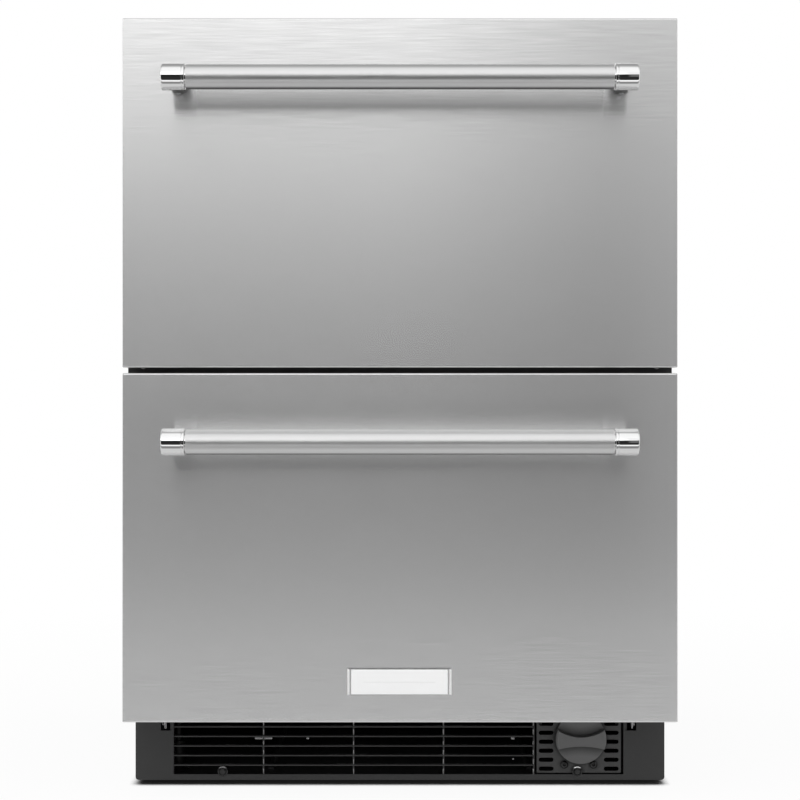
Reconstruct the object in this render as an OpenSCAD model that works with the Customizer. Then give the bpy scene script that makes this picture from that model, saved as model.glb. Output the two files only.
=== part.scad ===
// Undercounter drawer refrigerator: two full-width drawers above a louvred toe panel.
// Millimetres, +Z up, the drawers open towards -Y. The origin is on the floor, under the
// middle of the overall box from the handles to the back.

/* [Cabinet] */
// Width of the cabinet and of both drawer fronts
cabinet_w = 606; // [596:1:620]
// Height of the cabinet top above the floor, levelling legs turned fully in
cabinet_h = 866; // [850:1:880]
// Depth of the cabinet box from its front face to its back
cabinet_d = 575; // [565:1:600]
// Thickness of the folded cabinet sheet
sheet_t = 1; // [0.8:0.1:1.2]
// Outer radius of the folded edges along the cabinet top
fold_r = 4; // [2:0.5:6]
// Insulation at each side
foam_side = 44; // [38:1:46]
// Insulation above the cavity
foam_top = 44; // [38:1:46]
// Insulation behind the cavity
foam_back = 46; // [40:1:52]
// Insulation under the cavity
foam_floor = 44; // [38:1:48]
// Insulation over the machine space
foam_hump = 36; // [30:1:40]
// Wall of the inner liner
liner_t = 2; // [1.5:0.5:3]
// Radius of the liner's long corners
liner_r = 14; // [8:1:18]
// Height of the cross rail between the two drawers
mullion_h = 48; // [44:1:52]
// Depth of the cross rail
mullion_d = 30; // [24:1:36]
// Inset of the back panel's screws from its edges
screw_in = 12; // [8:1:16]
// Radius of a screw hole in sheet
hole_r = 2.2; // [1.8:0.1:2.6]

/* [Drawer fronts] */
// Strip of cabinet top above the upper front
top_reveal = 8; // [4:0.5:12]
// Gap between the two fronts
front_gap = 6; // [4:0.5:8]
// Thickness of a front
front_t = 38; // [34:1:42]
// Height of the lower front's bottom edge
front_z = 90; // [86:1:92]
// Thickness of the outer steel skin
skin_t = 1; // [0.8:0.1:1.2]
// Radius of the skin's folded edges
skin_r = 1.8; // [1.4:0.1:3]
// Width of the skin's return round its back edge
skin_return = 9; // [6:1:12]
// Thickness of the inner panel of a front
panel_t = 2.5; // [2:0.5:3]
// Height of the raised field inside the gasket
plinth_t = 4; // [3:0.5:5]
// Closed thickness of the gasket, front to cabinet face
gasket_t = 7; // [6:0.5:9]
// Width of the gasket
gasket_w = 15; // [12:1:17]
// Distance from a front's edge to its gasket
gasket_inset = 4; // [3:0.5:6]
// Step in from the gasket's foot to its bead
bead_step = 2; // [1:0.5:3]

/* [Handles] */
// Radius of the handle bar
bar_r = 13.25; // [12:0.25:13.5]
// Wall of the bar tube
bar_wall = 1.6; // [1.2:0.1:2.4]
// Radius of the end caps
cap_r = 14.5; // [14:0.25:16]
// Length of an end cap
cap_len = 25; // [22:1:30]
// Distance between the two cap centres
handle_span = 480; // [420:5:500]
// Distance from a front's face to the bar's axis
handle_reach = 57; // [50:1:62]
// Distance from a front's top edge to the bar's axis
handle_drop = 73.5; // [60:0.5:90]
// Bevel round a cap's two edges
cap_bevel = 1.2; // [0.8:0.1:1.6]
// Radius of the post from cap to front
post_r = 10.4; // [9:0.2:12]
// Depth of the groove where the post meets the front
foot_groove = 0.8; // [0.4:0.1:1.2]
// Width of the dark groove between cap and bar
seam_w = 1.2; // [0.8:0.1:2]
// Length of the cap's spigot inside the bar
spigot_len = 14; // [10:1:20]

/* [Drawers] */
// Closed length of the slides
slide_l = 450; // [420:5:460]
// Height of a slide
slide_h = 45; // [42:0.5:48]
// Distance of the slides behind the cabinet's face
slide_back = 7; // [5:1:10]
// Width of a slide from the liner wall to the drawer's rail
slide_w = 12.7; // [12.7:0.1:14]
// Steel thickness of the slide members
slide_t = 1.2; // [1:0.1:1.4]
// Diameter of the balls in the slides
ball_d = 3.3; // [3:0.1:3.6]
// Balls in each row
balls = 6; // [4:1:8]
// Length of a ball cage as a share of the slide's
cage_share = 0.42; // [0.35:0.01:0.5]
// Free end of the slide beyond a cage
cage_in = 12; // [8:1:16]
// Steel thickness of the drawer rails
rail_t = 1.2; // [1:0.1:1.6]
// Width of the rail's top flange that the bin hangs on
rail_flange = 13; // [10:1:15]
// Height of the rail above the slide's centre
rail_top = 32; // [26:1:36]
// Width of the rail's bracket on the front
bracket_w = 40; // [30:1:50]
// Height of the crossbar behind the bin
crossbar_h = 26; // [20:1:32]
// Height of the upper slides' centre above the upper front's bottom edge
slide_up_upper = 108; // [100:1:120]
// Height of the lower slides' centre above the lower front's bottom edge
slide_up_lower = 220; // [215:1:230]
// Wall of the bins
bin_t = 2.5; // [2:0.5:3]
// Length of the bins
bin_l = 444; // [420:2:444]
// Radius of a bin's upright corners
bin_r = 22; // [15:1:30]
// How far a bin's sides lean in below its ledge
bin_draft = 6; // [3:1:10]
// Clearance from the cavity floor to the bins
bin_lift = 11; // [8:1:15]
// Clearance from a bin's rim to the rail or the control housing above it
rim_clear = 8; // [6:1:14]
// Width of the rolled rim
rim_w = 4; // [3:0.5:5]
// Height of the rolled rim
rim_h = 4; // [3:0.5:6]
// Clearance from the rim to the liner's sides
rim_gap = 5; // [4:0.5:8]
// Number of raised ribs in a bin's floor
floor_ribs = 7; // [3:2:11]
// Width of a floor rib
rib_w = 3; // [2:0.5:4]
// Height of a floor rib
rib_h = 1.5; // [1:0.5:2]
// Distance of the floor ribs from the bin's sides
rib_in = 50; // [40:5:70]
// Distance of the floor ribs from the bin's ends
rib_end = 40; // [30:2:60]
// Thickness of the divider
divider_t = 3; // [2.5:0.5:4]
// Place of the dividers at rest, behind the bin's front
divider_back = 207; // [180:1:215]
// Distance of the divider's top under the bin's
divider_drop = 12; // [8:1:18]
// Thickness of the divider's top edge and side guides
guide_t = 4; // [3:0.5:5]
// Width of the divider's side guides
guide_w = 12; // [8:1:16]
// Width of the finger slot
finger_w = 100; // [80:2:110]
// Height of the finger slot
finger_h = 22; // [18:1:26]

/* [Toe] */
// Distance from the cabinet's face back to the toe panel
toe_setback = 57; // [50:1:65]
// Gap under the toe panel and the base
toe_gap = 5.5; // [5:0.5:8]
// Gap between the toe panel's top and the lower front's edge
toe_top_gap = 2; // [1:0.5:4]
// Sheet thickness of the toe panel
toe_t = 1.5; // [1.2:0.1:2]
// Depth of the toe panel's folded edges
toe_lip = 10; // [8:1:14]
// Radius of the toe panel's corners
toe_r = 3.5; // [2:0.5:5]
// Width of the toe panel beside its opening
grille_side = 45.3; // [41:0.1:50]
// Distance of the opening's middle from the cabinet's
grille_off = -1.7; // [-4:0.1:4]
// Height of the opening's lower edge above the panel's
grille_low = 6.4; // [5:0.2:8]
// Strip of the toe panel above the opening
grille_top = 5; // [4:0.5:8]
// Thickness of a louvre blade
blade_t = 1.6; // [1.2:0.1:2]
// Depth of a louvre blade
blade_d = 13; // [10:0.5:16]
// Backward fall of the blades
blade_tilt = 6; // [0:1:15]
// Distance from one blade to the next
blade_pitch = 11; // [9:0.5:13]
// Height of the first blade above the panel's lower edge
blade_first = 16.7; // [14:0.1:18]
// Bays between the upright ribs
rib_bays = 4; // [3:1:6]
// Thickness of an upright rib
rib_t = 1.6; // [1.2:0.1:2]
// Setback of the ribs behind the blades' front edges
rib_back = 4; // [2:0.5:6]
// Flange of the grille's frame behind the panel
grille_flange = 4; // [3:0.5:5]
// Wall of the grille's frame
grille_t = 1.6; // [1.2:0.1:2]
// Drop of the frame's floor under the opening's lower edge
frame_drop = 3; // [2:0.1:3]
// Width of a clip window
clip_w = 12.5; // [9:0.5:13]
// Height of a clip window
clip_h = 14; // [10:0.5:16]
// Distance of a clip window's middle from the opening
clip_in = 8.5; // [7.5:0.5:10]
// Width of the plate beside the louvres
plate_w = 96.5; // [88:0.5:97]
// Thickness of that plate
plate_t = 2.5; // [2:0.5:3]
// Gap from the plate to the opening's right edge
plate_in = 2.8; // [2:0.1:5]
// Gap from the plate to the opening's upper edge
plate_top = 3; // [2:0.1:5]
// Gap from the plate to the opening's lower edge
plate_low = 1.6; // [1:0.1:3]
// Distance from the last rib to the plate
plate_gap = 3.1; // [2.5:0.1:5]
// Thickness of the feet behind the plate
plate_foot_t = 3; // [2:0.5:4]
// Width of those feet
plate_foot_w = 6; // [4:0.5:8]
// Height of a slot in the plate
slot_h = 5; // [4:0.2:6]
// Length of a slot
slot_l = 17; // [12:0.5:18]
// Distance from one slot to the next
slot_pitch = 10.3; // [9.5:0.1:12]
// Height of the first slot above the panel's lower edge
slot_first = 12.6; // [12:0.1:16]
// Distance from the left slots to the plate's left edge
slot_left = 2.3; // [2:0.1:4]
// Distance from the right slots to the plate's right edge
slot_right = 2.5; // [1:0.5:3]
// Radius of the round filter cap
filter_r = 28.8; // [26:0.2:30]
// Height of the filter cap's centre above the panel's lower edge
filter_up = 47.8; // [46:0.2:50]
// Distance of the cap's centre right of the plate's
filter_off = 1.8; // [1:0.2:4]
// Height of the cap's grip above the plate
filter_grip = 12; // [10:0.5:14]
// Distance of the grip under the cap's centre
grip_drop = 2.4; // [0:0.2:5]
// Height of the grip at its narrowest
grip_w = 12.3; // [8:0.1:14]
// Radius of the round hollow above the grip
high_hollow_r = 48; // [30:1:60]
// Radius of the round hollow below the grip
low_hollow_r = 100; // [60:5:140]
// Bevel round the cap's face
cap_edge = 2; // [1:0.5:3]
// Radius of the cap's stem
filter_stem_r = 20; // [18:0.5:22]
// Depth of the sleeve behind the plate
sleeve_l = 70; // [50:1:90]
// Wall of the sleeve
sleeve_t = 2.5; // [2:0.5:3]
// Height of a bayonet lug on the stem
lug_h = 2.4; // [2:0.1:3]
// Width of a lug
lug_w = 7; // [5:0.5:9]
// Length of a lug
lug_l = 6; // [4:0.5:8]
// Distance of the lugs behind the plate's face
lug_y = 14; // [12:1:20]
// Radius of the large screw heads on the toe
head_r = 6; // [5:0.5:6.5]
// Distance of the large screws from the middle
head_x = 203; // [195:1:210]
// Height of the large screws above the panel's lower edge
head_up = 10; // [9:0.5:12]
// Height of a large screw head
head_t = 3; // [2:0.5:4]
// Radius of a large screw's shank
shank_r = 2; // [1.5:0.1:2.5]
// Radius of the small screw heads on the plate
clip_r = 4.35; // [3.6:0.05:4.6]
// Height of a small screw head
small_t = 1.6; // [1:0.1:2]
// Distance of the small screws from the plate's middle
small_x = 16.7; // [15:0.1:18]
// Height of the small screws above the panel's lower edge
small_up = 17.6; // [16.5:0.1:20]
// Length of a small screw behind the plate's face
small_l = 9; // [7:0.5:12]

/* [Base and legs] */
// Thickness of the base pan
base_t = 1.5; // [1.2:0.1:2]
// Height of the base pan's side flanges
base_flange = 22; // [15:1:30]
// Radius of a foot
foot_r = 19; // [15:0.5:22]
// Across-corners radius of a foot's wrench hexagon
hex_r = 10; // [9:0.5:12]
// Bevelled rim of a foot
foot_bevel = 1.2; // [0.8:0.1:1.6]
// Radius of the stiffening beads in the base pan
bead_r = 4; // [3:0.5:6]
// Distance of the beads from the pan's front
bead_in = 40; // [30:2:60]
// Radius of a leg's stud
stud_r = 5; // [4:0.5:6]
// Length of the stud above the foot
stud_l = 62; // [50:1:70]
// Height of the threaded sockets
socket_h = 34; // [28:1:40]
// Wall of a socket
socket_t = 4; // [3:0.5:5]
// Width of a socket's flange beyond its bore
socket_flange = 9; // [7:0.5:12]
// Thickness of a socket's flange
flange_t = 2; // [1.5:0.5:3]
// Distance of the legs from the cabinet's sides
leg_in = 42; // [35:1:60]
// Distance of the front legs behind the toe panel
leg_front = 45; // [35:1:60]
// Distance of the rear legs from the back
leg_rear = 38; // [32:1:45]

/* [Machine space] */
// Depth of the machine space at the back
machine_d = 180; // [175:1:190]
// Height of the machine space's ceiling
machine_h = 220; // [212:1:230]
// Radius of the compressor shell
comp_r = 66; // [58:1:70]
// Height of the compressor shell
comp_h = 148; // [130:1:155]
// Distance of the compressor's axis from the cabinet's left side
comp_in = 143; // [135:1:160]
// Width of the compressor's mounting feet
comp_foot_w = 26; // [20:1:32]
// Radius of a compressor foot's mount
mount_r = 9; // [7:0.5:11]
// Distance of the mounts outside the compressor shell
mount_out = 10; // [9:0.5:14]
// Width of the compressor's terminal box
box_w = 44; // [36:1:50]
// Height of the compressor's terminal box
box_h = 46; // [38:1:54]
// Depth of the compressor's terminal box
box_d = 18; // [14:1:22]
// Radius of the compressor's larger tube stub
stub_r = 4; // [3:0.5:5]
// Length of the tube stubs
stub_l = 42; // [34:1:48]
// Height of the rubber mounts under the compressor
mount_h = 18; // [14:1:22]
// Width of the condenser block
cond_w = 170; // [150:2:180]
// Height of the condenser block
cond_h = 165; // [150:1:175]
// Depth of the condenser block
cond_d = 34; // [28:1:38]
// Number of condenser fins
cond_fins = 18; // [12:1:22]
// Radius of the condenser fan
cfan_r = 70; // [60:1:74]
// Depth of the condenser fan
cfan_d = 18; // [14:1:20]
// Distance of that fan's middle behind the condenser
cfan_in = 12; // [10:1:14]
// Thickness of the fans' blades
fan_t = 1.6; // [1.2:0.1:2]
// Distance of the condenser behind the machine space's front
cond_front = 24; // [18:1:30]
// Distance of the condenser's middle from the cabinet's right side
cond_in = 128; // [120:1:140]
// Rows of tube in the condenser
cond_rows = 6; // [4:1:7]
// Radius of the condenser's tube
cond_tube_r = 4.5; // [4:0.25:5]
// Height of the condenser block above the base pan
cond_up = 12; // [8:1:16]
// Depth of the fan shroud
shroud_d = 26; // [20:1:30]
// Wall of the fan shroud
shroud_t = 3; // [2:0.5:4]
// Radius of the fan motor
motor_r = 26; // [20:1:30]
// Length of the fan motor
motor_l = 34; // [26:1:38]
// Radius of the fan shaft
shaft_r = 3; // [2.5:0.25:4]
// Height of the drain pan
pan_h = 30; // [24:1:36]
// Wall of the drain pan
pan_t = 2; // [1.5:0.5:3]
// Distance of the drain pan from its neighbours
pan_gap = 6; // [5:1:10]
// Setback of the rear cover from the cabinet's back
cover_back = 7; // [6:0.5:10]
// Rows of louvres in the rear cover
louvre_rows = 10; // [6:1:11]
// Distance from one louvre to the next
louvre_pitch = 14; // [12:0.5:16]
// Radius of a louvre's hood
louvre_r = 4; // [3:0.5:5]
// Height of the first louvre above the cover's lower edge
louvre_first = 40; // [36:1:50]
// Radius of the cord's bush inside
bush_r = 4.2; // [3.5:0.1:5]
// Height of the bush above the cover's lower edge
bush_up = 24; // [20:1:30]

/* [Cold air] */
// Width of the evaporator cover
evap_w = 440; // [400:5:460]
// Distance of the evaporator cover above the cross rail
evap_rise = 22; // [16:1:30]
// Distance of the evaporator cover under the cavity's ceiling
evap_drop = 37; // [30:1:60]
// Depth of the evaporator cover
evap_d = 60; // [56:1:62]
// Wall of the evaporator cover
evap_t = 2; // [1.5:0.5:3]
// Radius of the evaporator cover's corners
evap_r = 16; // [10:1:20]
// Distance from the cover's sides to the ends of the tubes
coil_in = 65; // [55:1:80]
// Rows of tube in the evaporator
coil_rows = 5; // [3:1:6]
// Radius of the evaporator's tube
coil_r = 4; // [3.5:0.25:5]
// Depth of the evaporator's fins
coil_d = 24; // [18:1:28]
// Return slots in the cover
return_slots = 15; // [9:2:17]
// Distance from one return slot to the next
return_pitch = 26; // [22:1:28]
// Radius of the cold-air fan
efan_r = 46; // [40:1:48]
// Depth of the cold-air fan
efan_d = 12; // [10:1:16]
// Distance of that fan's tips under the cover's top
efan_drop = 24; // [20:1:30]
// Distance of that fan's middle behind the cover's face
efan_in = 9; // [8:0.5:12]
// Number of evaporator fins
evap_fins = 21; // [15:1:27]
// Radius of the cold-air fan's motor
emotor_r = 17; // [14:1:20]
// Radius of the cold-air fan's shaft
eshaft_r = 2.5; // [2:0.25:3]
// Width of the control housing
control_w = 260; // [220:5:300]
// Height of the control housing
control_h = 20; // [17:1:24]
// Depth of the control housing
control_d = 75; // [60:1:90]
// Radius of a control button
button_r = 4.5; // [3.5:0.25:5.5]
// Distance between the control buttons
button_pitch = 26; // [20:1:32]
// Length of the light's lens
lens_l = 220; // [180:5:260]
// Width of the lens
lens_w = 34; // [28:1:40]
// Height of the lens
lens_h = 7; // [5:0.5:9]
// Wall of the lens
lens_t = 2; // [1.5:0.5:2.5]
// Wall of the control housing
control_t = 3; // [2:0.5:4]
// Travel of a control button
button_travel = 0.8; // [0.5:0.1:1.2]
// Height of a button above the housing's face
button_out = 1.6; // [1.2:0.1:2]
// Depth of a button's well
button_well = 8; // [7:0.5:10]
// Radius of the dish in a button's face
dish_r = 10; // [8:1:14]

/* [Hidden] */
$fn = 48;
eps = 1;
// Clearance between a moving piece and its neighbour at rest
gap = 0.3;
// Radial running clearance of a shaft or stud
run = 0.08;

// Fronts and the toe panel's opening
front_h = (cabinet_h - top_reveal - front_z - front_gap) / 2;
grille_w = cabinet_w - 2 * grille_side;

// Depth stations, front to back
overall_d = cabinet_d + gasket_t + front_t + handle_reach + cap_r;
y_back = overall_d / 2;
y_face = y_back - cabinet_d;
y_shut = y_face - gasket_t;
y_front = y_shut - front_t;
y_bar = y_front - handle_reach;
y_toe = y_face + toe_setback;
y_machine = y_back - machine_d;
y_cover = y_back - cover_back;

// Height stations
z_lower = front_z;
z_upper = front_z + front_h + front_gap;
z_mullion = z_upper - front_gap / 2;
z_cav0 = front_z + sheet_t + foam_floor;
z_cav1 = cabinet_h - sheet_t - foam_top;
z_toe1 = front_z - toe_top_gap;
z_base = toe_gap + base_t;

// The cavity, outside and inside the liner
cav_x = cabinet_w / 2 - sheet_t - foam_side;
cav_back = y_back - sheet_t - foam_back;
wall_x = cav_x - liner_t;
hump_y = y_machine - sheet_t - foam_hump;
hump_z = machine_h + sheet_t + foam_hump;

// Drawers
z_slide_upper = z_upper + slide_up_upper;
z_slide_lower = z_lower + slide_up_lower;
y_slide = y_face + slide_back;
rail_x = wall_x - slide_w;
plinth_y = y_shut + plinth_t;
bin_y0 = plinth_y + rail_t + gap;
bin_y1 = bin_y0 + bin_l;
rail_y1 = bin_y1 + rail_t + gap;
bin_x = rail_x - rail_t - rail_flange - gap;
bin_wide_x = wall_x - rim_w - rim_gap;
bin_top_upper = z_cav1 - liner_t - control_h - rim_clear;
bin_top_lower = z_mullion - mullion_h / 2 - rim_clear;
bin_low_upper = z_mullion + mullion_h / 2 + bin_lift;
bin_low_lower = z_cav0 + liner_t + bin_lift;
step_y = hump_y - liner_t - bin_lift;
step_z = hump_z + liner_t + bin_lift;

// Slide members, measured in from the liner wall (u) and from the slide's centre (v)
race = ball_d + 0.2;
outer_v = slide_h / 2;
mid_v = outer_v - slide_t - race;
inner_v = mid_v - slide_t - race;
mid_u = slide_t + 1.8;
ball_u = slide_w / 2;

// Toe
z_open0 = toe_gap + grille_low;
z_open1 = z_toe1 - grille_top;
grille_y = y_toe + toe_t;
open_x0 = grille_off - grille_w / 2;
open_x1 = grille_off + grille_w / 2;
frame_z = z_open0 - frame_drop;
plate_x = open_x1 - plate_in - plate_w / 2;
plate_z0 = z_open0 + plate_low;
plate_z1 = z_open1 - plate_top;
first_rib = open_x0 - grille_t / 2;
last_rib = plate_x - plate_w / 2 - plate_gap;
rib_pitch = (last_rib - first_rib) / rib_bays;
filter_x = plate_x + filter_off;
filter_z = toe_gap + filter_up;
head_z = toe_gap + head_up;
boss_r = head_r - 1.5;
plate_y = y_toe + 1;

// Evaporator
evap_z0 = z_mullion + mullion_h / 2 + evap_rise;
evap_h = z_cav1 - liner_t - evap_drop - evap_z0;
evap_y = cav_back - liner_t - evap_d;
efan_z = evap_z0 + evap_h - efan_r - efan_drop;
efan_y = evap_y + efan_in;
coil_z0 = evap_z0 + evap_r + 10;
coil_pitch = (efan_z - efan_r - coil_z0) / coil_rows;

// Machine
comp_x = cabinet_w / 2 - comp_in;
comp_y = (y_machine + y_cover) / 2;
cond_x = cabinet_w / 2 - cond_in;
cond_y = y_machine + cond_front;
cond_z = z_base + cond_up;
cfan_y = cond_y + cond_d + cfan_in;
cfan_z = cond_z + cond_h / 2;
blade_pitch_angle = 32;

// ---- Drawing helpers ----

// A front-view drawing (x right, z up) given depth from y0 to y1
module along_y(y0, y1) translate([0, y1, 0]) rotate([90, 0, 0]) linear_extrude(y1 - y0) children();

// A side-view drawing (y right, z up) given width from x0 to x1
module along_x(x0, x1) translate([x0, 0, 0]) rotate([90, 0, 90]) linear_extrude(x1 - x0) children();

// A plan drawing given height from z0 to z1
module along_z(z0, z1) translate([0, 0, z0]) linear_extrude(z1 - z0) children();

// A box from its two corners
module block(a, b) translate(a) cube(b - a);

// A rectangle from its two corners with four round corners
module round_rect(a, b, r) {
    translate([a[0] + r, a[1]]) square([b[0] - a[0] - 2 * r, b[1] - a[1]]);
    translate([a[0], a[1] + r]) square([b[0] - a[0], b[1] - a[1] - 2 * r]);
    for (x = [a[0] + r, b[0] - r], y = [a[1] + r, b[1] - r]) translate([x, y]) circle(r);
}

// A rectangle from its two corners
module rect(a, b) translate(a) square(b - a);

// A round bar along Y, from y0 to y1
module rod_y(x, z, r, y0, y1) translate([x, y0, z]) rotate([-90, 0, 0]) cylinder(y1 - y0, r = r);

// Both sides of the middle plane
module both_sides() {
    children();
    mirror([1, 0, 0]) children();
}

// ---- Cabinet ----

// The outline of the cabinet, drawn in from its outside by i
module cabinet_outline(i) {
    x = cabinet_w / 2 - i;
    intersection() {
        round_rect([-x, -fold_r * 2], [x, cabinet_h - i], fold_r - i / 2);
        rect([-x, i > 0 ? -eps : toe_gap], [x, cabinet_h]);
    }
}

// The mouth of the cavity, drawn in from the liner's outside by i
module cavity_outline(i) {
    round_rect([-cav_x + i, z_cav0 + i], [cav_x - i, z_cav1 - i], liner_r);
}

// The cavity as a solid, drawn in by i, with the step over the machine space
module cavity(i, front) {
    intersection() {
        along_y(front, cav_back - i) cavity_outline(i);
        along_x(-cabinet_w, cabinet_w) polygon([
            [front, z_cav0], [hump_y - i, z_cav0], [hump_y - i, hump_z + i],
            [cav_back, hump_z + i], [cav_back, z_cav1], [front, z_cav1]
        ]);
    }
}

// Folded steel: two sides, top and the frame round the drawers' opening
module cabinet_wrapper() color("dimgray") {
    difference() {
        along_y(y_face, y_back) cabinet_outline(0);
        along_y(y_face + sheet_t, y_back + eps) cabinet_outline(sheet_t);
        along_y(y_face - eps, y_face + 2 * sheet_t) cavity_outline(liner_t);
        block([-cabinet_w, y_face - eps, -eps], [cabinet_w, y_toe + toe_lip + gap, front_z]);
    }
}

// Galvanised sheet closing the insulation at the back
module back_panel() color("silver") {
    x = cabinet_w / 2 - sheet_t;
    difference() {
        along_y(y_back - sheet_t, y_back)
            round_rect([-x, machine_h], [x, cabinet_h - sheet_t], fold_r - sheet_t / 2);
        for (side = [-1, 1])
            along_y(y_back - sheet_t - eps, y_back + eps)
                translate([side * (x - screw_in), machine_h + screw_in]) circle(hole_r);
    }
}

// Foam between the sheet steel and the liner
module foam_insulation() color("khaki") {
    x = cabinet_w / 2 - sheet_t;
    difference() {
        along_y(y_face + sheet_t, y_back - sheet_t)
            intersection() {
                cabinet_outline(sheet_t);
                rect([-x, front_z + sheet_t], [x, cabinet_h]);
            }
        cavity(0, y_face - eps);
        block([-x - eps, y_machine - sheet_t, 0], [x + eps, y_back, machine_h + sheet_t]);
    }
}

// Folded sheet under the foam, stepping up over the machine space
module deck_panel() color("silver") {
    x = cabinet_w / 2 - sheet_t;
    y1 = y_back - sheet_t;
    along_x(-x, x) polygon([
        [y_face + sheet_t, front_z], [y_machine, front_z], [y_machine, machine_h],
        [y1, machine_h], [y1, machine_h + sheet_t], [y_machine - sheet_t, machine_h + sheet_t],
        [y_machine - sheet_t, front_z + sheet_t], [y_face + sheet_t, front_z + sheet_t]
    ]);
}

// Formed plastic liner of the whole cavity
module cavity_liner() color("whitesmoke") {
    difference() {
        cavity(0, y_face + sheet_t);
        cavity(liner_t, y_face);
    }
}

// Cross rail that both gaskets close on, a channel open to the back
module mullion_rail() color("dimgray") {
    z0 = z_mullion - mullion_h / 2;
    z1 = z_mullion + mullion_h / 2;
    difference() {
        block([-wall_x, y_face, z0], [wall_x, y_face + mullion_d, z1]);
        block([-wall_x - eps, y_face + sheet_t, z0 + sheet_t],
              [wall_x + eps, y_face + mullion_d + eps, z1 - sheet_t]);
    }
}

// ---- Base, legs and toe ----

// Where the four legs stand
function leg_place(side, end) = [
    side * (cabinet_w / 2 - leg_in),
    end < 0 ? y_toe + toe_lip + leg_front : y_back - leg_rear
];
LEG_PLACES = [for (side = [-1, 1], end = [-1, 1]) leg_place(side, end)];

// Base pan: a tray with two side flanges, stiffening beads and four stud holes
module base_pan() color("silver") {
    x = cabinet_w / 2 - sheet_t;
    y0 = y_toe + toe_lip + gap;
    y1 = y_cover - base_t;
    difference() {
        union() {
            block([-x, y0, toe_gap], [x, y1, z_base]);
            both_sides() block([x - base_t, y0, toe_gap], [x, y1, z_base + base_flange]);
            for (bead = [-0.5, 0.5])
                along_y(y0 + bead_in, y_machine - bead_in / 2)
                    translate([bead * cabinet_w / 2, z_base - bead_r / 4]) circle(bead_r);
        }
        block([-x, y0 - eps, -bead_r], [x, y1, toe_gap]);
        for (p = LEG_PLACES) translate([p[0], p[1], 0]) cylinder(z_base + eps, r = stud_r + run);
    }
}

// Threaded sockets standing on the base pan
module leg_sockets() color("gray") {
    for (p = LEG_PLACES) translate([p[0], p[1], z_base]) difference() {
        union() {
            cylinder(socket_h, r = stud_r + socket_t);
            cylinder(flange_t, r = stud_r + socket_flange);
        }
        translate([0, 0, -eps]) cylinder(socket_h + 2 * eps, r = stud_r + run);
    }
}

// Levelling leg: foot, wrench hexagon and stud
module levelling_leg(p) color("dimgray") translate([p[0], p[1], 0]) {
    foot_h = toe_gap - gap;
    rim_z = foot_h * 0.42;
    cylinder(rim_z, r1 = foot_r - 1, r2 = foot_r);
    translate([0, 0, rim_z]) cylinder(foot_bevel, r1 = foot_r, r2 = foot_r - 3 * foot_bevel);
    cylinder(foot_h, r = hex_r, $fn = 6);
    cylinder(foot_h + stud_l - 1, r = stud_r);
    translate([0, 0, foot_h + stud_l - 1]) cylinder(1, r1 = stud_r, r2 = stud_r - 1);
}

// Toe panel: a shallow pan with the grille's opening and two clip windows
module toe_panel() color("#333333") {
    x = cabinet_w / 2;
    difference() {
        along_y(y_toe, y_toe + toe_lip) round_rect([-x, toe_gap], [x, z_toe1], toe_r);
        along_y(y_toe + toe_t, y_toe + toe_lip + eps)
            round_rect([-x + toe_t, toe_gap + toe_t], [x - toe_t, z_toe1 - toe_t], toe_r - toe_t);
        along_y(y_toe - eps, y_toe + toe_t + eps)
            rect([open_x0, z_open0], [open_x1, z_open1]);
        along_y(y_toe - eps, y_toe + toe_t + eps) for (side = [-1, 1])
            translate([grille_off + side * (grille_w / 2 + clip_in), z_open1 - clip_h])
                square([clip_w, clip_h], center = true);
    }
}

// One louvre blade with a round front edge, in side view
module blade_section() {
    rotate(-blade_tilt) {
        translate([blade_t / 2, -blade_t / 2]) square([blade_d - blade_t / 2, blade_t]);
        translate([blade_t / 2, 0]) circle(blade_t / 2);
    }
}

// Louvred grille: a frame, falling blades, upright ribs and two screw bosses
module toe_grille() color("#1c1c1c") {
    z0 = frame_z - grille_t;
    z1 = z_open1 - gap;
    y0 = grille_y + gap;
    y1 = plate_y + blade_d;
    f = grille_flange;
    difference() {
        union() {
            difference() {
                union() {
                    along_y(y0, y1) rect([open_x0 - grille_t, z0], [open_x1 + grille_t, z1]);
                    along_y(y0, grille_y + 2) rect([open_x0 - f, z0], [open_x1 + f, z1 + f * 0.75]);
                }
                along_y(y_toe, y1 + eps) rect([open_x0, frame_z], [open_x1, z1 - grille_t]);
            }
            for (z = [toe_gap + blade_first : blade_pitch : z1 - blade_t])
                along_x(first_rib, last_rib) translate([plate_y - 0.4, z]) blade_section();
            for (i = [1 : rib_bays]) {
                rib_x = first_rib + i * rib_pitch;
                block([rib_x - rib_t / 2, y_toe + rib_back, z0], [rib_x + rib_t / 2, y1, z1]);
            }
            for (side = [-1, 1]) {
                rod_y(side * head_x, head_z, boss_r, y0, y1);
                block([side * head_x - boss_r / 2, y0, z0], [side * head_x + boss_r / 2, y1, head_z]);
            }
        }
        for (side = [-1, 1]) rod_y(side * head_x, head_z, shank_r + run, y_toe - eps, y1 + eps);
        block([open_x0 - f, y_toe - eps, z0], [open_x0 + gap, y0, z1]);
    }
}

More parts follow.
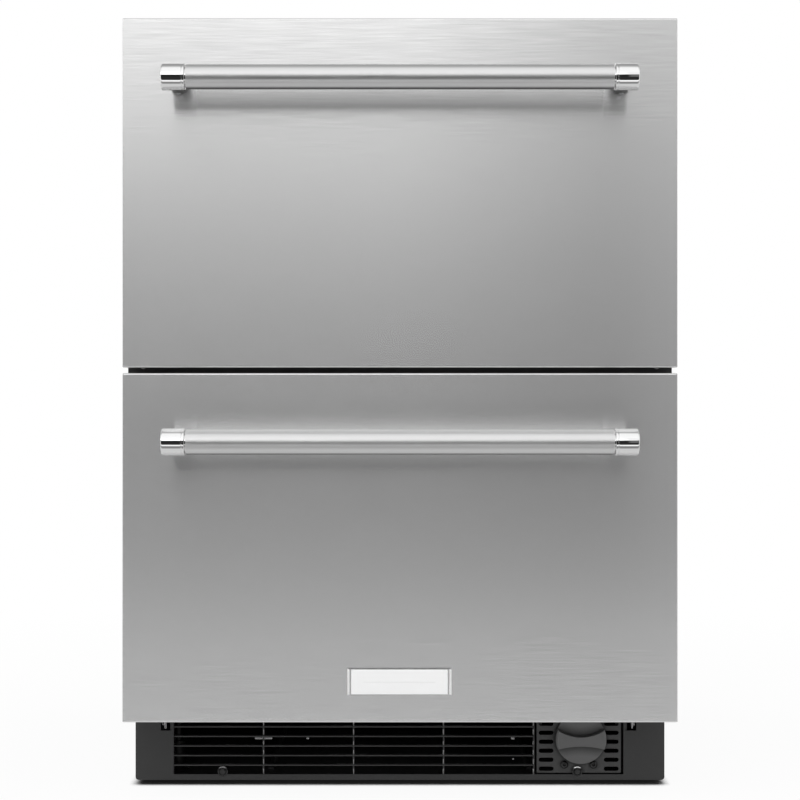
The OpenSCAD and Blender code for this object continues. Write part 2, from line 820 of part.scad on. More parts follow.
// Plate beside the louvres: two columns of slots, the cap's hole and its sleeve
module filter_plate() color("#3a3a3a") {
    x0 = plate_x - plate_w / 2;
    x1 = plate_x + plate_w / 2;
    y0 = plate_y;
    bore_r = filter_stem_r + gap;
    difference() {
        union() {
            along_y(y0, y0 + plate_t) round_rect([x0, plate_z0], [x1, plate_z1], 1);
            rod_y(filter_x, filter_z, bore_r + lug_h + sleeve_t, y0 + plate_t / 2, y0 + sleeve_l);
            plate_foot(x0);
            plate_foot(x1 - plate_foot_w);
        }
        rod_y(filter_x, filter_z, bore_r, y0 - eps, y0 + sleeve_l - sleeve_t);
        rod_y(filter_x, filter_z, bore_r + lug_h, y0 + lug_y - gap, y0 + lug_y + lug_l + gap);
        block([filter_x - lug_w / 2 - gap, y0 - eps, filter_z - bore_r - lug_h],
              [filter_x + lug_w / 2 + gap, y0 + lug_y + lug_l, filter_z + bore_r + lug_h]);
        for (z = [toe_gap + slot_first : slot_pitch : plate_z1 - slot_h])
            for (xs = [x0 + slot_left + slot_l / 2, x1 - slot_right - slot_l / 2])
                along_y(y0 - eps, y0 + plate_t + eps) slot_outline(xs, z);
        rod_y(head_x, head_z, boss_r + gap, y0 - eps, y0 + plate_t + eps);
        for (s = [-1, 1])
            rod_y(plate_x + s * small_x, toe_gap + small_up, shank_r, y0 - eps, y0 + small_l + eps);
    }
}

// Foot behind one end of the plate that seats it in the grille's frame
module plate_foot(x) {
    z = plate_z1 - 4 * plate_foot_t;
    block([x, plate_y, z], [x + plate_foot_w, plate_y + blade_d - 2, z + plate_foot_t]);
}

// A slot with round ends
module slot_outline(x, z) {
    flat = slot_l - slot_h;
    translate([x, z]) {
        square([flat, slot_h], center = true);
        for (s = [-1, 1]) translate([s * flat / 2, 0]) circle(slot_h / 2);
    }
}

// Two large screws on the toe panel and two small ones on the plate
module toe_screws() color("black") {
    for (s = [-1, 1]) {
        rod_y(s * head_x, head_z, shank_r, y_toe, y_toe + blade_d + head_t);
        difference() {
            translate([s * head_x, y_toe, head_z])
                rotate([90, 0, 0]) cylinder(head_t, r1 = head_r, r2 = head_r - 1);
            translate([s * head_x, y_toe - head_t, head_z])
                cube([2 * head_r + eps, head_t, head_r / 5], center = true);
        }
        small = plate_x + s * small_x;
        rod_y(small, toe_gap + small_up, shank_r - run, plate_y, plate_y + small_l);
        translate([small, plate_y, toe_gap + small_up])
            rotate([90, 0, 0]) cylinder(small_t, r1 = clip_r, r2 = clip_r - small_t / 2);
    }
}

// Quarter-turn cap: a disc with a grip across it, hollowed above and below the grip. The two
// lugs on its stem run in the sleeve's groove and leave by its two entry slots after the turn
module filter_cap() color("#2b2b2b") {
    y0 = plate_y;
    wall = filter_grip - cap_edge;
    cut = wall - plate_t;
    difference() {
        translate([filter_x, y0 - gap, filter_z]) rotate([90, 0, 0]) {
            cylinder(wall, r = filter_r);
            translate([0, 0, wall]) cylinder(cap_edge, r1 = filter_r, r2 = filter_r - cap_edge);
        }
        grip_hollow(1, high_hollow_r, cut);
        grip_hollow(-1, low_hollow_r, cut);
    }
    rod_y(filter_x, filter_z, filter_stem_r, y0 - gap - 1, y0 + lug_y + lug_l + sleeve_t);
    for (a = [0, 180]) translate([filter_x, y0 + lug_y, filter_z]) rotate([0, a, 0])
        block([filter_stem_r - 3, 0, -lug_w / 2], [filter_stem_r + lug_h - gap, lug_l, lug_w / 2]);
}

// ---- Machine space ----

// Round hollow of radius r above or below the cap's grip
module grip_hollow(side, r, cut)
    translate([filter_x, plate_y - 2 * filter_grip, filter_z - grip_drop + side * (r + grip_w / 2)])
        rotate([-90, 0, 0]) cylinder(filter_grip + cut, r1 = r + plate_t, r2 = r);

// Louvred sheet closing the machine space
module rear_cover() color("silver") {
    x = cabinet_w / 2 - sheet_t - gap;
    z0 = toe_gap + gap;
    z1 = machine_h - gap;
    hood_l = cabinet_w / 3.2;
    difference() {
        union() {
            along_y(y_cover - sheet_t, y_cover) round_rect([-x, z0], [x, z1], toe_r);
            louvres(z0 + louvre_first, y_cover, hood_l, louvre_r);
        }
        louvres(z0 + louvre_first - louvre_r * 0.4, y_cover - sheet_t, hood_l - 2, louvre_r * 0.9);
        block([-x, y_cover - 3 * louvre_r, z0 + louvre_first / 2],
              [x, y_cover - sheet_t, z1 - louvre_first / 2]);
        rod_y(0, z0 + bush_up, 2 * bush_r + 0.6, y_cover - 2, y_cover + 2);
    }
}

// Two columns of round bars, one bar for each louvre
module louvres(z, y, length, r) {
    for (row = [0 : louvre_rows - 1], side = [-1, 1])
        translate([side * cabinet_w / 4, y, z + row * louvre_pitch])
            rotate([0, 90, 0]) cylinder(length, r = r, center = true);
}

// Bush where the supply cord comes out
module cord_gland() color("black") {
    z = toe_gap + gap + bush_up;
    neck_r = 2 * bush_r + 0.5;
    difference() {
        union() {
            rod_y(0, z, neck_r, y_cover - sheet_t, y_cover);
            rod_y(0, z, neck_r + 3, y_cover, y_cover + 3.5);
            rod_y(0, z, neck_r + 2, y_cover - 4, y_cover - sheet_t);
        }
        rod_y(0, z, bush_r, y_cover - 5, y_cover + 5);
    }
}

// Sealed compressor: shell of two drawn halves, feet, terminal box and tube stubs
module compressor() color("#222222") {
    z0 = z_base + mount_h;
    translate([-comp_x, comp_y, z0]) {
        rotate_extrude() polygon(concat(
            [[0, 0], [comp_r * 0.62, 0], [comp_r * 0.9, comp_h * 0.05], [comp_r, comp_h * 0.18],
             [comp_r, comp_h * 0.52], [comp_r + 3, comp_h * 0.53], [comp_r + 3, comp_h * 0.56],
             [comp_r, comp_h * 0.57]],
            [for (a = [0 : 10 : 90])
                [comp_r * cos(a), comp_h * 0.66 + comp_h * 0.34 * sin(a)]]
        ));
        for (a = [0 : 90 : 270]) rotate(a + 45)
            block([comp_r / 2, -comp_foot_w / 2, 4], [comp_r + 2 * mount_out, comp_foot_w / 2, 7]);
        block([comp_r * 0.88, -box_w / 2, box_h], [comp_r + box_d, box_w / 2, 2 * box_h]);
        for (s = [-1, 1]) translate([s * comp_r * 0.3, -comp_r * 0.67, comp_h * 0.73])
            rotate([70, 0, 0]) cylinder(stub_l, r = stub_r - (s + 1) / 2);
    }
}

// Four rubber mounts between the base pan and the compressor's feet
module compressor_mounts() color("black") {
    for (a = [0 : 90 : 270]) translate([-comp_x, comp_y, z_base]) rotate(a + 45)
        translate([comp_r + mount_out, 0, 0]) {
            cylinder(mount_h + 4, r = mount_r);
            cylinder(4, r = mount_r + 2);
        }
}

// Rows of tube joined by bends, seen from the front: rows, pitch, length and radius
module tube_rows(rows, pitch, len, r) {
    for (i = [0 : rows - 1]) translate([-len / 2, 0, i * pitch]) rotate([0, 90, 0]) cylinder(len, r = r);
    for (i = [0 : rows - 2]) {
        side = i % 2 == 0 ? 1 : -1;
        translate([side * len / 2, 0, (i + 0.5) * pitch]) rotate([90, 0, 0]) rotate(side > 0 ? -90 : 90)
            rotate_extrude(angle = 180) translate([pitch / 2, 0]) circle(r, $fn = 24);
    }
}

// Condenser: a tube pack through plate fins, standing on two side brackets
module condenser_coil() color("#b87333") {
    translate([cond_x, cond_y + cond_d / 2, cond_z]) {
        pitch = cond_h * 0.96 / cond_rows;
        tube_l = cond_w - pitch / 2;
        half = tube_l / 2 - cond_tube_r;
        translate([0, 0, (cond_h - (cond_rows - 1) * pitch) / 2])
            tube_rows(cond_rows, pitch, tube_l, cond_tube_r);
        for (i = [0 : cond_fins - 1]) {
            x = half * (2 * i / (cond_fins - 1) - 1);
            block([x - 0.4, -cond_d / 2, 0], [x + 0.4, cond_d / 2, cond_h]);
        }
        for (s = [-1, 1])
            block([s * half - 1, -cond_d / 2, z_base - cond_z], [s * half + 1, cond_d / 2, cond_h]);
    }
}

// Square shroud with a round throat, standing on the base pan, with the motor's arms
module condenser_shroud() color("#202020") {
    y0 = cond_y + cond_d;
    y1 = y0 + shroud_d;
    x0 = cond_x - cond_w / 2;
    x1 = cond_x + cond_w / 2;
    z1 = cond_z + cond_h;
    t = shroud_t;
    difference() {
        along_y(y0, y1) round_rect([x0, z_base], [x1, z1], 2 * t);
        along_y(y0 - eps, y0 + t) round_rect([x0 + t, cond_z], [x1 - t, z1 - t], t);
        rod_y(cond_x, cfan_z, cfan_r + 5, y0 - eps, y1 + eps);
    }
    for (a = [30 : 120 : 270]) translate([cond_x, y1 - 2, cfan_z]) rotate([0, a, 0])
        block([motor_r / 2, 0, -4], [cfan_r + 8, t, 4]);
    difference() {
        rod_y(cond_x, cfan_z, motor_r - 2, y1 - 2, y1 - 2 + t);
        rod_y(cond_x, cfan_z, 2 * shaft_r, y1 - 6, y1 + t);
    }
}

// Motor bolted to the shroud's arms, its shaft through the hub
module condenser_motor() color("gray") {
    y0 = cond_y + cond_d + shroud_d - 2 + shroud_t;
    rod_y(cond_x, cfan_z, motor_r, y0, y0 + motor_l);
    rod_y(cond_x, cfan_z, motor_r * 0.7, y0 + motor_l, y0 + motor_l * 1.18);
    rod_y(cond_x, cfan_z, shaft_r, cfan_y - cfan_d / 2 - 1, y0 + 1);
}

// A fan about the Y axis: hub, spinner and pitched blades with a round tip circle
module fan(x, y, z, r, hub, depth, blades, shaft) {
    difference() {
        union() {
            rod_y(x, z, hub, y - depth / 2, y + depth / 2);
            intersection() {
                rod_y(x, z, r, y - depth / 2, y + depth / 2);
                for (i = [0 : blades - 1]) translate([x, y, z])
                    rotate([0, i * 360 / blades + 90, 0]) rotate([0, 0, blade_pitch_angle])
                        translate([-r * 0.42, -fan_t / 2, hub * 0.7]) cube([r * 0.84, fan_t, r]);
            }
        }
        rod_y(x, z, shaft, y - depth / 2 - 2, y + depth / 2 + 2);
    }
}

module condenser_fan() color("#303030")
    fan(cond_x, cfan_y, cfan_z, cfan_r, 6 * shaft_r, cfan_d, 5, shaft_r + run);

// Tray that the defrost water dries off in
module drain_pan() color("#2a2a2a") {
    x0 = -comp_x + comp_r + box_d + pan_gap;
    x1 = cond_x - cond_w / 2 - pan_gap;
    y0 = y_machine + 2 * pan_gap;
    y1 = y_cover - 5 * pan_gap;
    t = pan_t;
    difference() {
        along_z(z_base, z_base + pan_h) round_rect([x0, y0], [x1, y1], 5 * t);
        along_z(z_base + t, z_base + pan_h + eps)
            round_rect([x0 + t, y0 + t], [x1 - t, y1 - t], 4 * t);
    }
}

// ---- Cold air ----

// Evaporator: tube rows through plate fins, held on two brackets at the liner's back
module evaporator_coil() color("silver") {
    len = evap_w - 2 * coil_in;
    y1 = cav_back - liner_t;
    y0 = y1 - 14 - coil_d;
    z0 = coil_z0;
    z1 = z0 + coil_rows * coil_pitch;
    half = len / 2 - coil_r;
    translate([0, y0 + coil_d / 2, z0 + coil_pitch / 2]) tube_rows(coil_rows, coil_pitch, len, coil_r);
    for (i = [1 : evap_fins]) {
        x = half * (2 * i / (evap_fins + 1) - 1);
        block([x - 0.3, y0, z0], [x + 0.3, y0 + coil_d, z1]);
    }
    for (s = [-1, 1]) block([s * half - 1, y0, z0], [s * half + 1, y1, z1]);
}

// Moulded cover over the evaporator, with the fan's guard and the return slots
module evaporator_cover() color("whitesmoke") {
    x = evap_w / 2;
    y1 = cav_back - liner_t;
    z1 = evap_z0 + evap_h;
    difference() {
        intersection() {
            along_y(evap_y, y1) round_rect([-x, evap_z0], [x, z1], evap_r);
            along_x(-x, x) round_rect([evap_y, evap_z0], [y1 + evap_r, z1], evap_r / 2);
        }
        along_y(evap_y + evap_t, y1 + eps)
            round_rect([-x + evap_t, evap_z0 + evap_t], [x - evap_t, z1 - evap_t], evap_r - evap_t);
        difference() {
            rod_y(0, efan_z, efan_r + 4, evap_y - eps, evap_y + evap_t + eps);
            for (r = [12 : 10 : efan_r]) difference() {
                rod_y(0, efan_z, r, evap_y - eps, evap_y + evap_t + eps);
                rod_y(0, efan_z, r - 2, evap_y - 2, evap_y + evap_t + 2);
            }
            for (a = [0 : 45 : 135]) translate([0, evap_y, efan_z]) rotate([0, a, 0])
                block([-efan_r - 6, -eps, -1], [efan_r + 6, evap_t + eps, 1]);
        }
        for (i = [0 : return_slots - 1]) along_y(evap_y - eps, evap_y + evap_t + eps)
            translate([(i - (return_slots - 1) / 2) * return_pitch, evap_z0 + evap_r])
                round_rect([-return_pitch / 3, 0], [return_pitch / 3, 5], 2.4);
    }
}

// Cold-air motor on three arms from the liner's back
module evaporator_motor() color("#303030") {
    y0 = efan_y + efan_d;
    y1 = cav_back - liner_t;
    arm = 2.35 * emotor_r;
    rod_y(0, efan_z, emotor_r, y0, y1 - 5);
    rod_y(0, efan_z, eshaft_r, efan_y - efan_d / 2 - 1, y0 + 1);
    for (a = [90 : 120 : 330]) translate([0, y1 - 8, efan_z]) rotate([0, a, 0]) {
        block([emotor_r * 0.7, 0, -4], [arm, 2, 4]);
        block([arm - 6, 0, -4], [arm, 8, 4]);
    }
}

module evaporator_fan() color("white")
    fan(0, efan_y, efan_z, efan_r, 5 * eshaft_r, efan_d, 7, eshaft_r + run);

// Where the control buttons sit
function button_x(i) = i * button_pitch;
button_z = z_cav1 - liner_t - control_h / 2;
control_y = y_face + 8;

// Control housing under the cavity's ceiling, with a well for each button
module control_housing() color("lightgray") {
    x = control_w / 2;
    z1 = z_cav1 - liner_t;
    difference() {
        intersection() {
            along_x(-x, x)
                round_rect([control_y, z1 - control_h], [control_y + control_d, z1 + control_h / 2], 5);
            along_y(control_y - eps, control_y + control_d + eps) rect([-x, z1 - control_h], [x, z1]);
        }
        for (i = [-1 : 1])
            rod_y(button_x(i), button_z, button_r + gap, control_y - eps, control_y + button_well);
        block([-x + control_t, control_y + button_well + control_t, z1 - control_h + control_t],
              [x - control_t, control_y + control_d - control_t, z1 + eps]);
    }
}

// A control button with a shallow dish in its face, standing proud of the housing
module control_button(i) color("gray") {
    y0 = control_y - button_out;
    difference() {
        rod_y(button_x(i), button_z, button_r, y0, control_y + button_well - button_travel - gap);
        translate([button_x(i), y0 - dish_r * 0.94, button_z]) sphere(dish_r);
    }
}

// Lens of the cavity light
module light_lens() color("white") {
    y0 = control_y + control_d + 6;
    z1 = z_cav1 - liner_t;
    y1 = y0 + lens_w;
    x = lens_l / 2;
    t = lens_t;
    difference() {
        along_z(z1 - lens_h, z1) round_rect([-x, y0], [x, y1], 3 * t);
        along_z(z1 - lens_h + t, z1 + eps) round_rect([-x + t, y0 + t], [x - t, y1 - t], 2 * t);
    }
}

// ---- Slides, drawn for the right side at height z ----

// A channel of the slide: web at u, lips reaching lip from it, half height v
module channel(z, u, lip, v) {
    x = wall_x - u;
    along_y(y_slide, y_slide + slide_l) translate([0, z]) {
        rect([x - slide_t, -v], [x, v]);
        for (s = [-1, 1]) {
            low = s > 0 ? v - slide_t : -v;
            rect([min(x, x - lip), low], [max(x, x - lip), low + slide_t]);
        }
    }
}

module fixed_members(z) color("silver") both_sides() {
    channel(z, 0, slide_w - 3.2, outer_v);
    for (y = [slide_h, slide_l - slide_h]) mounting_dimple(y, z);
}

// Pressed mounting dimple of a fixed member
module mounting_dimple(y, z) {
    translate([wall_x - slide_t, y_slide + y, z]) rotate([0, -90, 0]) cylinder(0.8, r1 = 6, r2 = 4.5);
}

// Middle member with its four rows of balls in their cages
module middle_members(z) color("lightgray") both_sides() {
    channel(z, mid_u, slide_w - 2.2 - mid_u, mid_v);
    x = wall_x - ball_u;
    cage_l = slide_l * cage_share;
    ball_r = ball_d / 2;
    for (s = [-1, 1]) {
        for (v = [mid_v + ball_r - 0.1, mid_v - slide_t - ball_r + 0.1]) {
            outer = v > mid_v;
            y0 = outer ? y_slide + slide_l - cage_l - cage_in : y_slide + cage_in;
            block([x - 1, y0, z + s * v - 0.4], [x + 1, y0 + cage_l, z + s * v + 0.4]);
            for (i = [0 : balls - 1])
                translate([x, y0 + 5 + i * (cage_l - 10) / (balls - 1), z + s * v]) sphere(ball_r, $fn = 24);
        }
    }
}

// Inner member, its channel facing the liner, fixed to the drawer's rail
module inner_members(z) color("silver") both_sides() {
    lip = slide_w - slide_t - mid_u - slide_t - 1.3;
    channel(z, slide_w - slide_t, -lip, inner_v);
}

// ---- Drawer pieces ----

// A front's envelope, drawn in by i, its edges and corners rounded by r
module front_envelope(z0, i, r, back) {
    x = cabinet_w / 2 - i;
    y = y_front + i;
    z1 = z0 + front_h - i;
    intersection() {
        along_y(y, back) round_rect([-x, z0 + i], [x, z1], r);
        along_x(-x, x) round_rect([y, z0 + i], [back + 3 * r, z1], r);
        along_z(z0 + i, z1) round_rect([-x, y], [x, back + 3 * r], r);
    }
}

// Outer skin of a front: a drawn pan with a return all round its back edge
module front_skin(z0) color("lightgray") {
    x = cabinet_w / 2 - skin_return;
    z1 = z0 + front_h - skin_return;
    difference() {
        front_envelope(z0, 0, skin_r, y_shut);
        front_envelope(z0, skin_t, skin_r - skin_t, y_shut - skin_t);
        along_y(y_shut - skin_t - eps, y_shut + eps) round_rect([-x, z0 + skin_return], [x, z1], 4);
    }
}

module front_foam(z0) color("khaki") {
    front_envelope(z0, skin_t, skin_r - skin_t, y_shut - skin_t - panel_t);
}

// Inner panel with the raised field that the gasket goes round
module front_panel(z0) color("whitesmoke") {
    y0 = y_shut - skin_t - panel_t;
    along_y(y0, y_shut - skin_t) panel_outline(z0, skin_t, skin_r - skin_t);
    along_y(y0, y_shut) panel_outline(z0, skin_return + gap, 4);
    along_y(y0, plinth_y) panel_outline(z0, gasket_inset + gasket_w + 2, 8);
}

// A front's outline drawn in by i
module panel_outline(z0, i, r) {
    round_rect([-cabinet_w / 2 + i, z0 + i], [cabinet_w / 2 - i, z0 + front_h - i], r);
}

// Magnetic gasket: a frame with a hollow bead
module front_gasket(z0) color("black") {
    difference() {
        union() {
            along_y(y_shut, y_shut + gasket_t / 2) panel_outline(z0, gasket_inset, 6);
            along_y(y_shut, y_face - gap) panel_outline(z0, gasket_inset + bead_step, 6);
        }
        along_y(y_shut - eps, y_face) panel_outline(z0, gasket_inset + gasket_w, 6);
    }
}

// Handle tube
module handle_bar(z0) color("silver") {
    z = z0 + front_h - handle_drop;
    half = handle_span / 2 - cap_len / 2 - seam_w;
    translate([-half, y_bar, z]) rotate([0, 90, 0]) difference() {
        cylinder(2 * half, r = bar_r);
        translate([0, 0, -eps]) cylinder(2 * half + 2 * eps, r = bar_r - bar_wall);
    }
}

// Polished end: cap, spigot in the bar, and a post that meets the front in a fine groove
module handle_ends(z0) color("gainsboro") {
    z = z0 + front_h - handle_drop;
    bevel = cap_bevel;
    foot = foot_groove;
    end = cap_len / 2;
    spigot_r = bar_r - bar_wall - run;
    both_sides() translate([handle_span / 2, y_bar, z]) {
        rotate([0, 90, 0]) rotate_extrude() polygon([
            [0, -end - seam_w - spigot_len], [spigot_r - 1, -end - seam_w - spigot_len],
            [spigot_r, -end - seam_w - spigot_len + 1], [spigot_r, -end], [cap_r - bevel, -end],
            [cap_r, -end + bevel], [cap_r, end - bevel], [cap_r - bevel, end], [0, end]
        ]);
        rotate([-90, 0, 0]) rotate_extrude() polygon([
            [0, post_r / 2], [post_r, post_r / 2], [post_r, handle_reach - 2 * foot],
            [post_r - foot, handle_reach - foot], [post_r - foot, handle_reach], [0, handle_reach]
        ]);
    }
}

// Rails on both sides, their front brackets and the rear crossbar: one welded frame
module drawer_rails(z) color("silver") {
    low = z - outer_v;
    top = z + rail_top;
    both_sides() {
        block([rail_x - rail_t, plinth_y, low], [rail_x, rail_y1, top]);
        block([rail_x - rail_flange, plinth_y, top - rail_t], [rail_x, rail_y1, top]);
        along_y(plinth_y, plinth_y + rail_t)
            round_rect([rail_x - bracket_w, low], [rail_x, top], 4);
    }
    block([-rail_x, rail_y1 - rail_t, top - crossbar_h], [rail_x, rail_y1, top]);
}

// The two stages of a bin, drawn in by i: a leaning tub and a wide collar above the rails
module bin_solid(low, ledge, top, step, i) {
    up = i > 0 ? eps : 0;
    n = bin_x - i;
    w = bin_wide_x - i;
    r = bin_r - i;
    y0 = bin_y0 + i;
    y1 = bin_y1 - i;
    intersection() {
        along_y(y0, y1) polygon([
            [-n + bin_draft, low + i], [n - bin_draft, low + i], [n, ledge + i + up],
            [-n, ledge + i + up]
        ]);
        along_z(low, ledge + i + up) round_rect([-n, y0], [n, y1], r);
        along_x(-n, n) polygon([
            [y0 + bin_draft, low + i], [step_y - i, low + i], [step_y - i, step + i],
            [y1 - bin_draft, step + i], [y1, ledge + i + up], [y0, ledge + i + up]
        ]);
    }
    along_z(ledge + i, top + up) round_rect([-w, y0], [w, y1], r);
}

// Moulded bin: shell, rolled rim and floor ribs
module bin(low, ledge, top, step) color("whitesmoke") {
    w = bin_wide_x;
    difference() {
        union() {
            bin_solid(low, ledge, top, step, 0);
            along_z(top - rim_h, top) round_rect([-w - rim_w, bin_y0], [w + rim_w, bin_y1], bin_r + 2);
        }
        bin_solid(low, ledge, top, step, bin_t);
    }
    for (k = [0 : floor_ribs - 1]) {
        x = (k - (floor_ribs - 1) / 2) * 2 * (bin_x - rib_in) / (floor_ribs - 1);
        block([x - rib_w / 2, bin_y0 + rib_end, low + bin_t],
              [x + rib_w / 2, step_y - rib_end, low + bin_t + rib_h]);
    }
}

// Divider that slides along the bin, hung on its ledge, with a finger slot
module divider(low, ledge, top) color("white") {
    c = bin_t + 2 * gap;
    y = bin_y0 + divider_back;
    n = bin_x - c;
    w = bin_wide_x - c;
    y0 = y - guide_t;
    y1 = y + divider_t + guide_t;
    z0 = low + c + 2 * rib_h;
    z1 = top - divider_drop;
    shelf = ledge + bin_t + gap;
    difference() {
        union() {
            along_y(y, y + divider_t) polygon([
                [-n + bin_draft, z0], [n - bin_draft, z0], [n, shelf - gap], [w, shelf], [w, z1],
                [-w, z1], [-w, shelf], [-n, shelf - gap]
            ]);
            block([-w, y0, z1 - guide_t], [w, y1, z1]);
            both_sides() block([w - guide_w, y0, shelf], [w, y1, z1]);
        }
        along_y(y0 - eps, y1 + eps) translate([0, z1 - 3 * guide_t - finger_h])
            round_rect([-finger_w / 2, 0], [finger_w / 2, finger_h], finger_h / 2.1);
    }
}

// ---- What is drawn ----

cabinet_wrapper();
back_panel();
foam_insulation();
deck_panel();
cavity_liner();
mullion_rail();
base_pan();
leg_sockets();
toe_panel();
toe_grille();
filter_plate();
toe_screws();
rear_cover();
cord_gland();
compressor();
compressor_mounts();
condenser_coil();
condenser_shroud();
condenser_motor();
condenser_fan();
drain_pan();
evaporator_coil();
evaporator_cover();
evaporator_motor();
evaporator_fan();
control_housing();
light_lens();
control_button(-1);  // power_button
control_button(0);  // colder_button
control_button(1);  // warmer_button
filter_cap();
levelling_leg(leg_place(-1, -1));  // leg_front_left
levelling_leg(leg_place(1, -1));  // leg_front_right
levelling_leg(leg_place(-1, 1));  // leg_rear_left
levelling_leg(leg_place(1, 1));  // leg_rear_right
fixed_members(z_slide_upper);  // upper_fixed_members
middle_members(z_slide_upper);  // upper_middle_members
inner_members(z_slide_upper);  // upper_inner_members
drawer_rails(z_slide_upper);  // upper_rails
front_skin(z_upper);  // upper_skin
front_foam(z_upper);  // upper_foam
front_panel(z_upper);  // upper_panel
front_gasket(z_upper);  // upper_gasket
handle_bar(z_upper);  // upper_handle_bar
handle_ends(z_upper);  // upper_handle_ends
bin(bin_low_upper, z_slide_upper + rail_top, bin_top_upper, bin_low_upper);  // upper_bin
divider(bin_low_upper, z_slide_upper + rail_top, bin_top_upper);  // upper_divider
fixed_members(z_slide_lower);  // lower_fixed_members
middle_members(z_slide_lower);  // lower_middle_members
inner_members(z_slide_lower);  // lower_inner_members
drawer_rails(z_slide_lower);  // lower_rails
front_skin(z_lower);  // lower_skin
front_foam(z_lower);  // lower_foam
front_panel(z_lower);  // lower_panel
front_gasket(z_lower);  // lower_gasket
handle_bar(z_lower);  // lower_handle_bar
handle_ends(z_lower);  // lower_handle_ends
bin(bin_low_lower, z_slide_lower + rail_top, bin_top_lower, step_z);  // lower_bin
divider(bin_low_lower, z_slide_lower + rail_top, bin_top_lower);  // lower_divider
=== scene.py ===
import math

import bmesh
import bpy
import numpy as np
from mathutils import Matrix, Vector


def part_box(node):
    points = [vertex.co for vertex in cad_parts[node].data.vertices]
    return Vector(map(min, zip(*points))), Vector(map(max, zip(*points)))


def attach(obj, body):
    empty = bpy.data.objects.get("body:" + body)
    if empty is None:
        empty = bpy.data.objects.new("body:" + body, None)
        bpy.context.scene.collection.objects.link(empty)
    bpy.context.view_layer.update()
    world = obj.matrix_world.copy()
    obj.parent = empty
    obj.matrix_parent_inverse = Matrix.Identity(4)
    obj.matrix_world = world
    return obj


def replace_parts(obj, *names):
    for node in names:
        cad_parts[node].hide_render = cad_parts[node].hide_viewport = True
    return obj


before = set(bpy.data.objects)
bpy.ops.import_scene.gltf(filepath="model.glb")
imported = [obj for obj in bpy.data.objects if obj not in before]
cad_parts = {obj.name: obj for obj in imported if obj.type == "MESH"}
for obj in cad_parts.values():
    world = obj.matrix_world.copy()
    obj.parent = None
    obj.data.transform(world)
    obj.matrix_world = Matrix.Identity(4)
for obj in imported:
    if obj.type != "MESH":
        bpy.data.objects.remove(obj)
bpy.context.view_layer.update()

# ---- Cabinet shell ---------------------------------------------------------------------
# The outer case is folded from pre-painted black steel: two sides, the top and the frame
# that the gaskets close on. The cross rail between the drawers is the same steel. The paint
# is baked on and shows a fine orange peel.


class Value:
    """A number that varies over a surface, worked out by Math nodes from Python's operators."""

    def __init__(self, finish, socket):
        self.finish = finish
        self.socket = socket

    def maths(self, operation, *others):
        terms = dict(enumerate((self, *others)))
        return self.finish.node("ShaderNodeMath", {"operation": operation}, terms)

    def __add__(self, other):
        return self.maths("ADD", other)

    def __mul__(self, other):
        return self.maths("MULTIPLY", other)

    def __sub__(self, other):
        return self.maths("SUBTRACT", other)

    def __rsub__(self, other):
        return (self * -1) + other

    def __gt__(self, other):
        return self.maths("GREATER_THAN", other)

    def __pow__(self, other):
        return self.maths("POWER", other)

    __radd__ = __add__
    __rmul__ = __mul__


class Nodes:
    """The nodes of one tree."""

    def __init__(self, tree):
        self.tree = tree

    def node(self, kind, settings=None, sockets=None, outlet=0):
        """Adds a node: its settings first, or a ramp's stops, then its sockets by place or name."""
        node = self.tree.nodes.new(kind)
        for name, value in (settings or {}).items():
            if name == "stops":
                while len(node.color_ramp.elements) < len(value):
                    node.color_ramp.elements.new(0.5)
                for element, (place, shade) in zip(node.color_ramp.elements, value):
                    element.position = place
                    element.color = (*shade, 1)
            else:
                setattr(node, name, value)
        for key, value in (sockets or {}).items():
            if isinstance(key, str):
                socket = next(s for s in node.inputs if s.identifier == key)
            else:
                socket = node.inputs[key]
            if isinstance(value, Value):
                self.tree.links.new(value.socket, socket)
            else:
                socket.default_value = value
        return Value(self, node.outputs[outlet])

    def level(self, value, low, high, start=0.0, end=1.0):
        """value from low..high carried to start..end and held there."""
        terms = {0: value, 1: low, 2: high, 3: start, 4: end}
        return self.node("ShaderNodeMapRange", {"clamp": True}, terms)


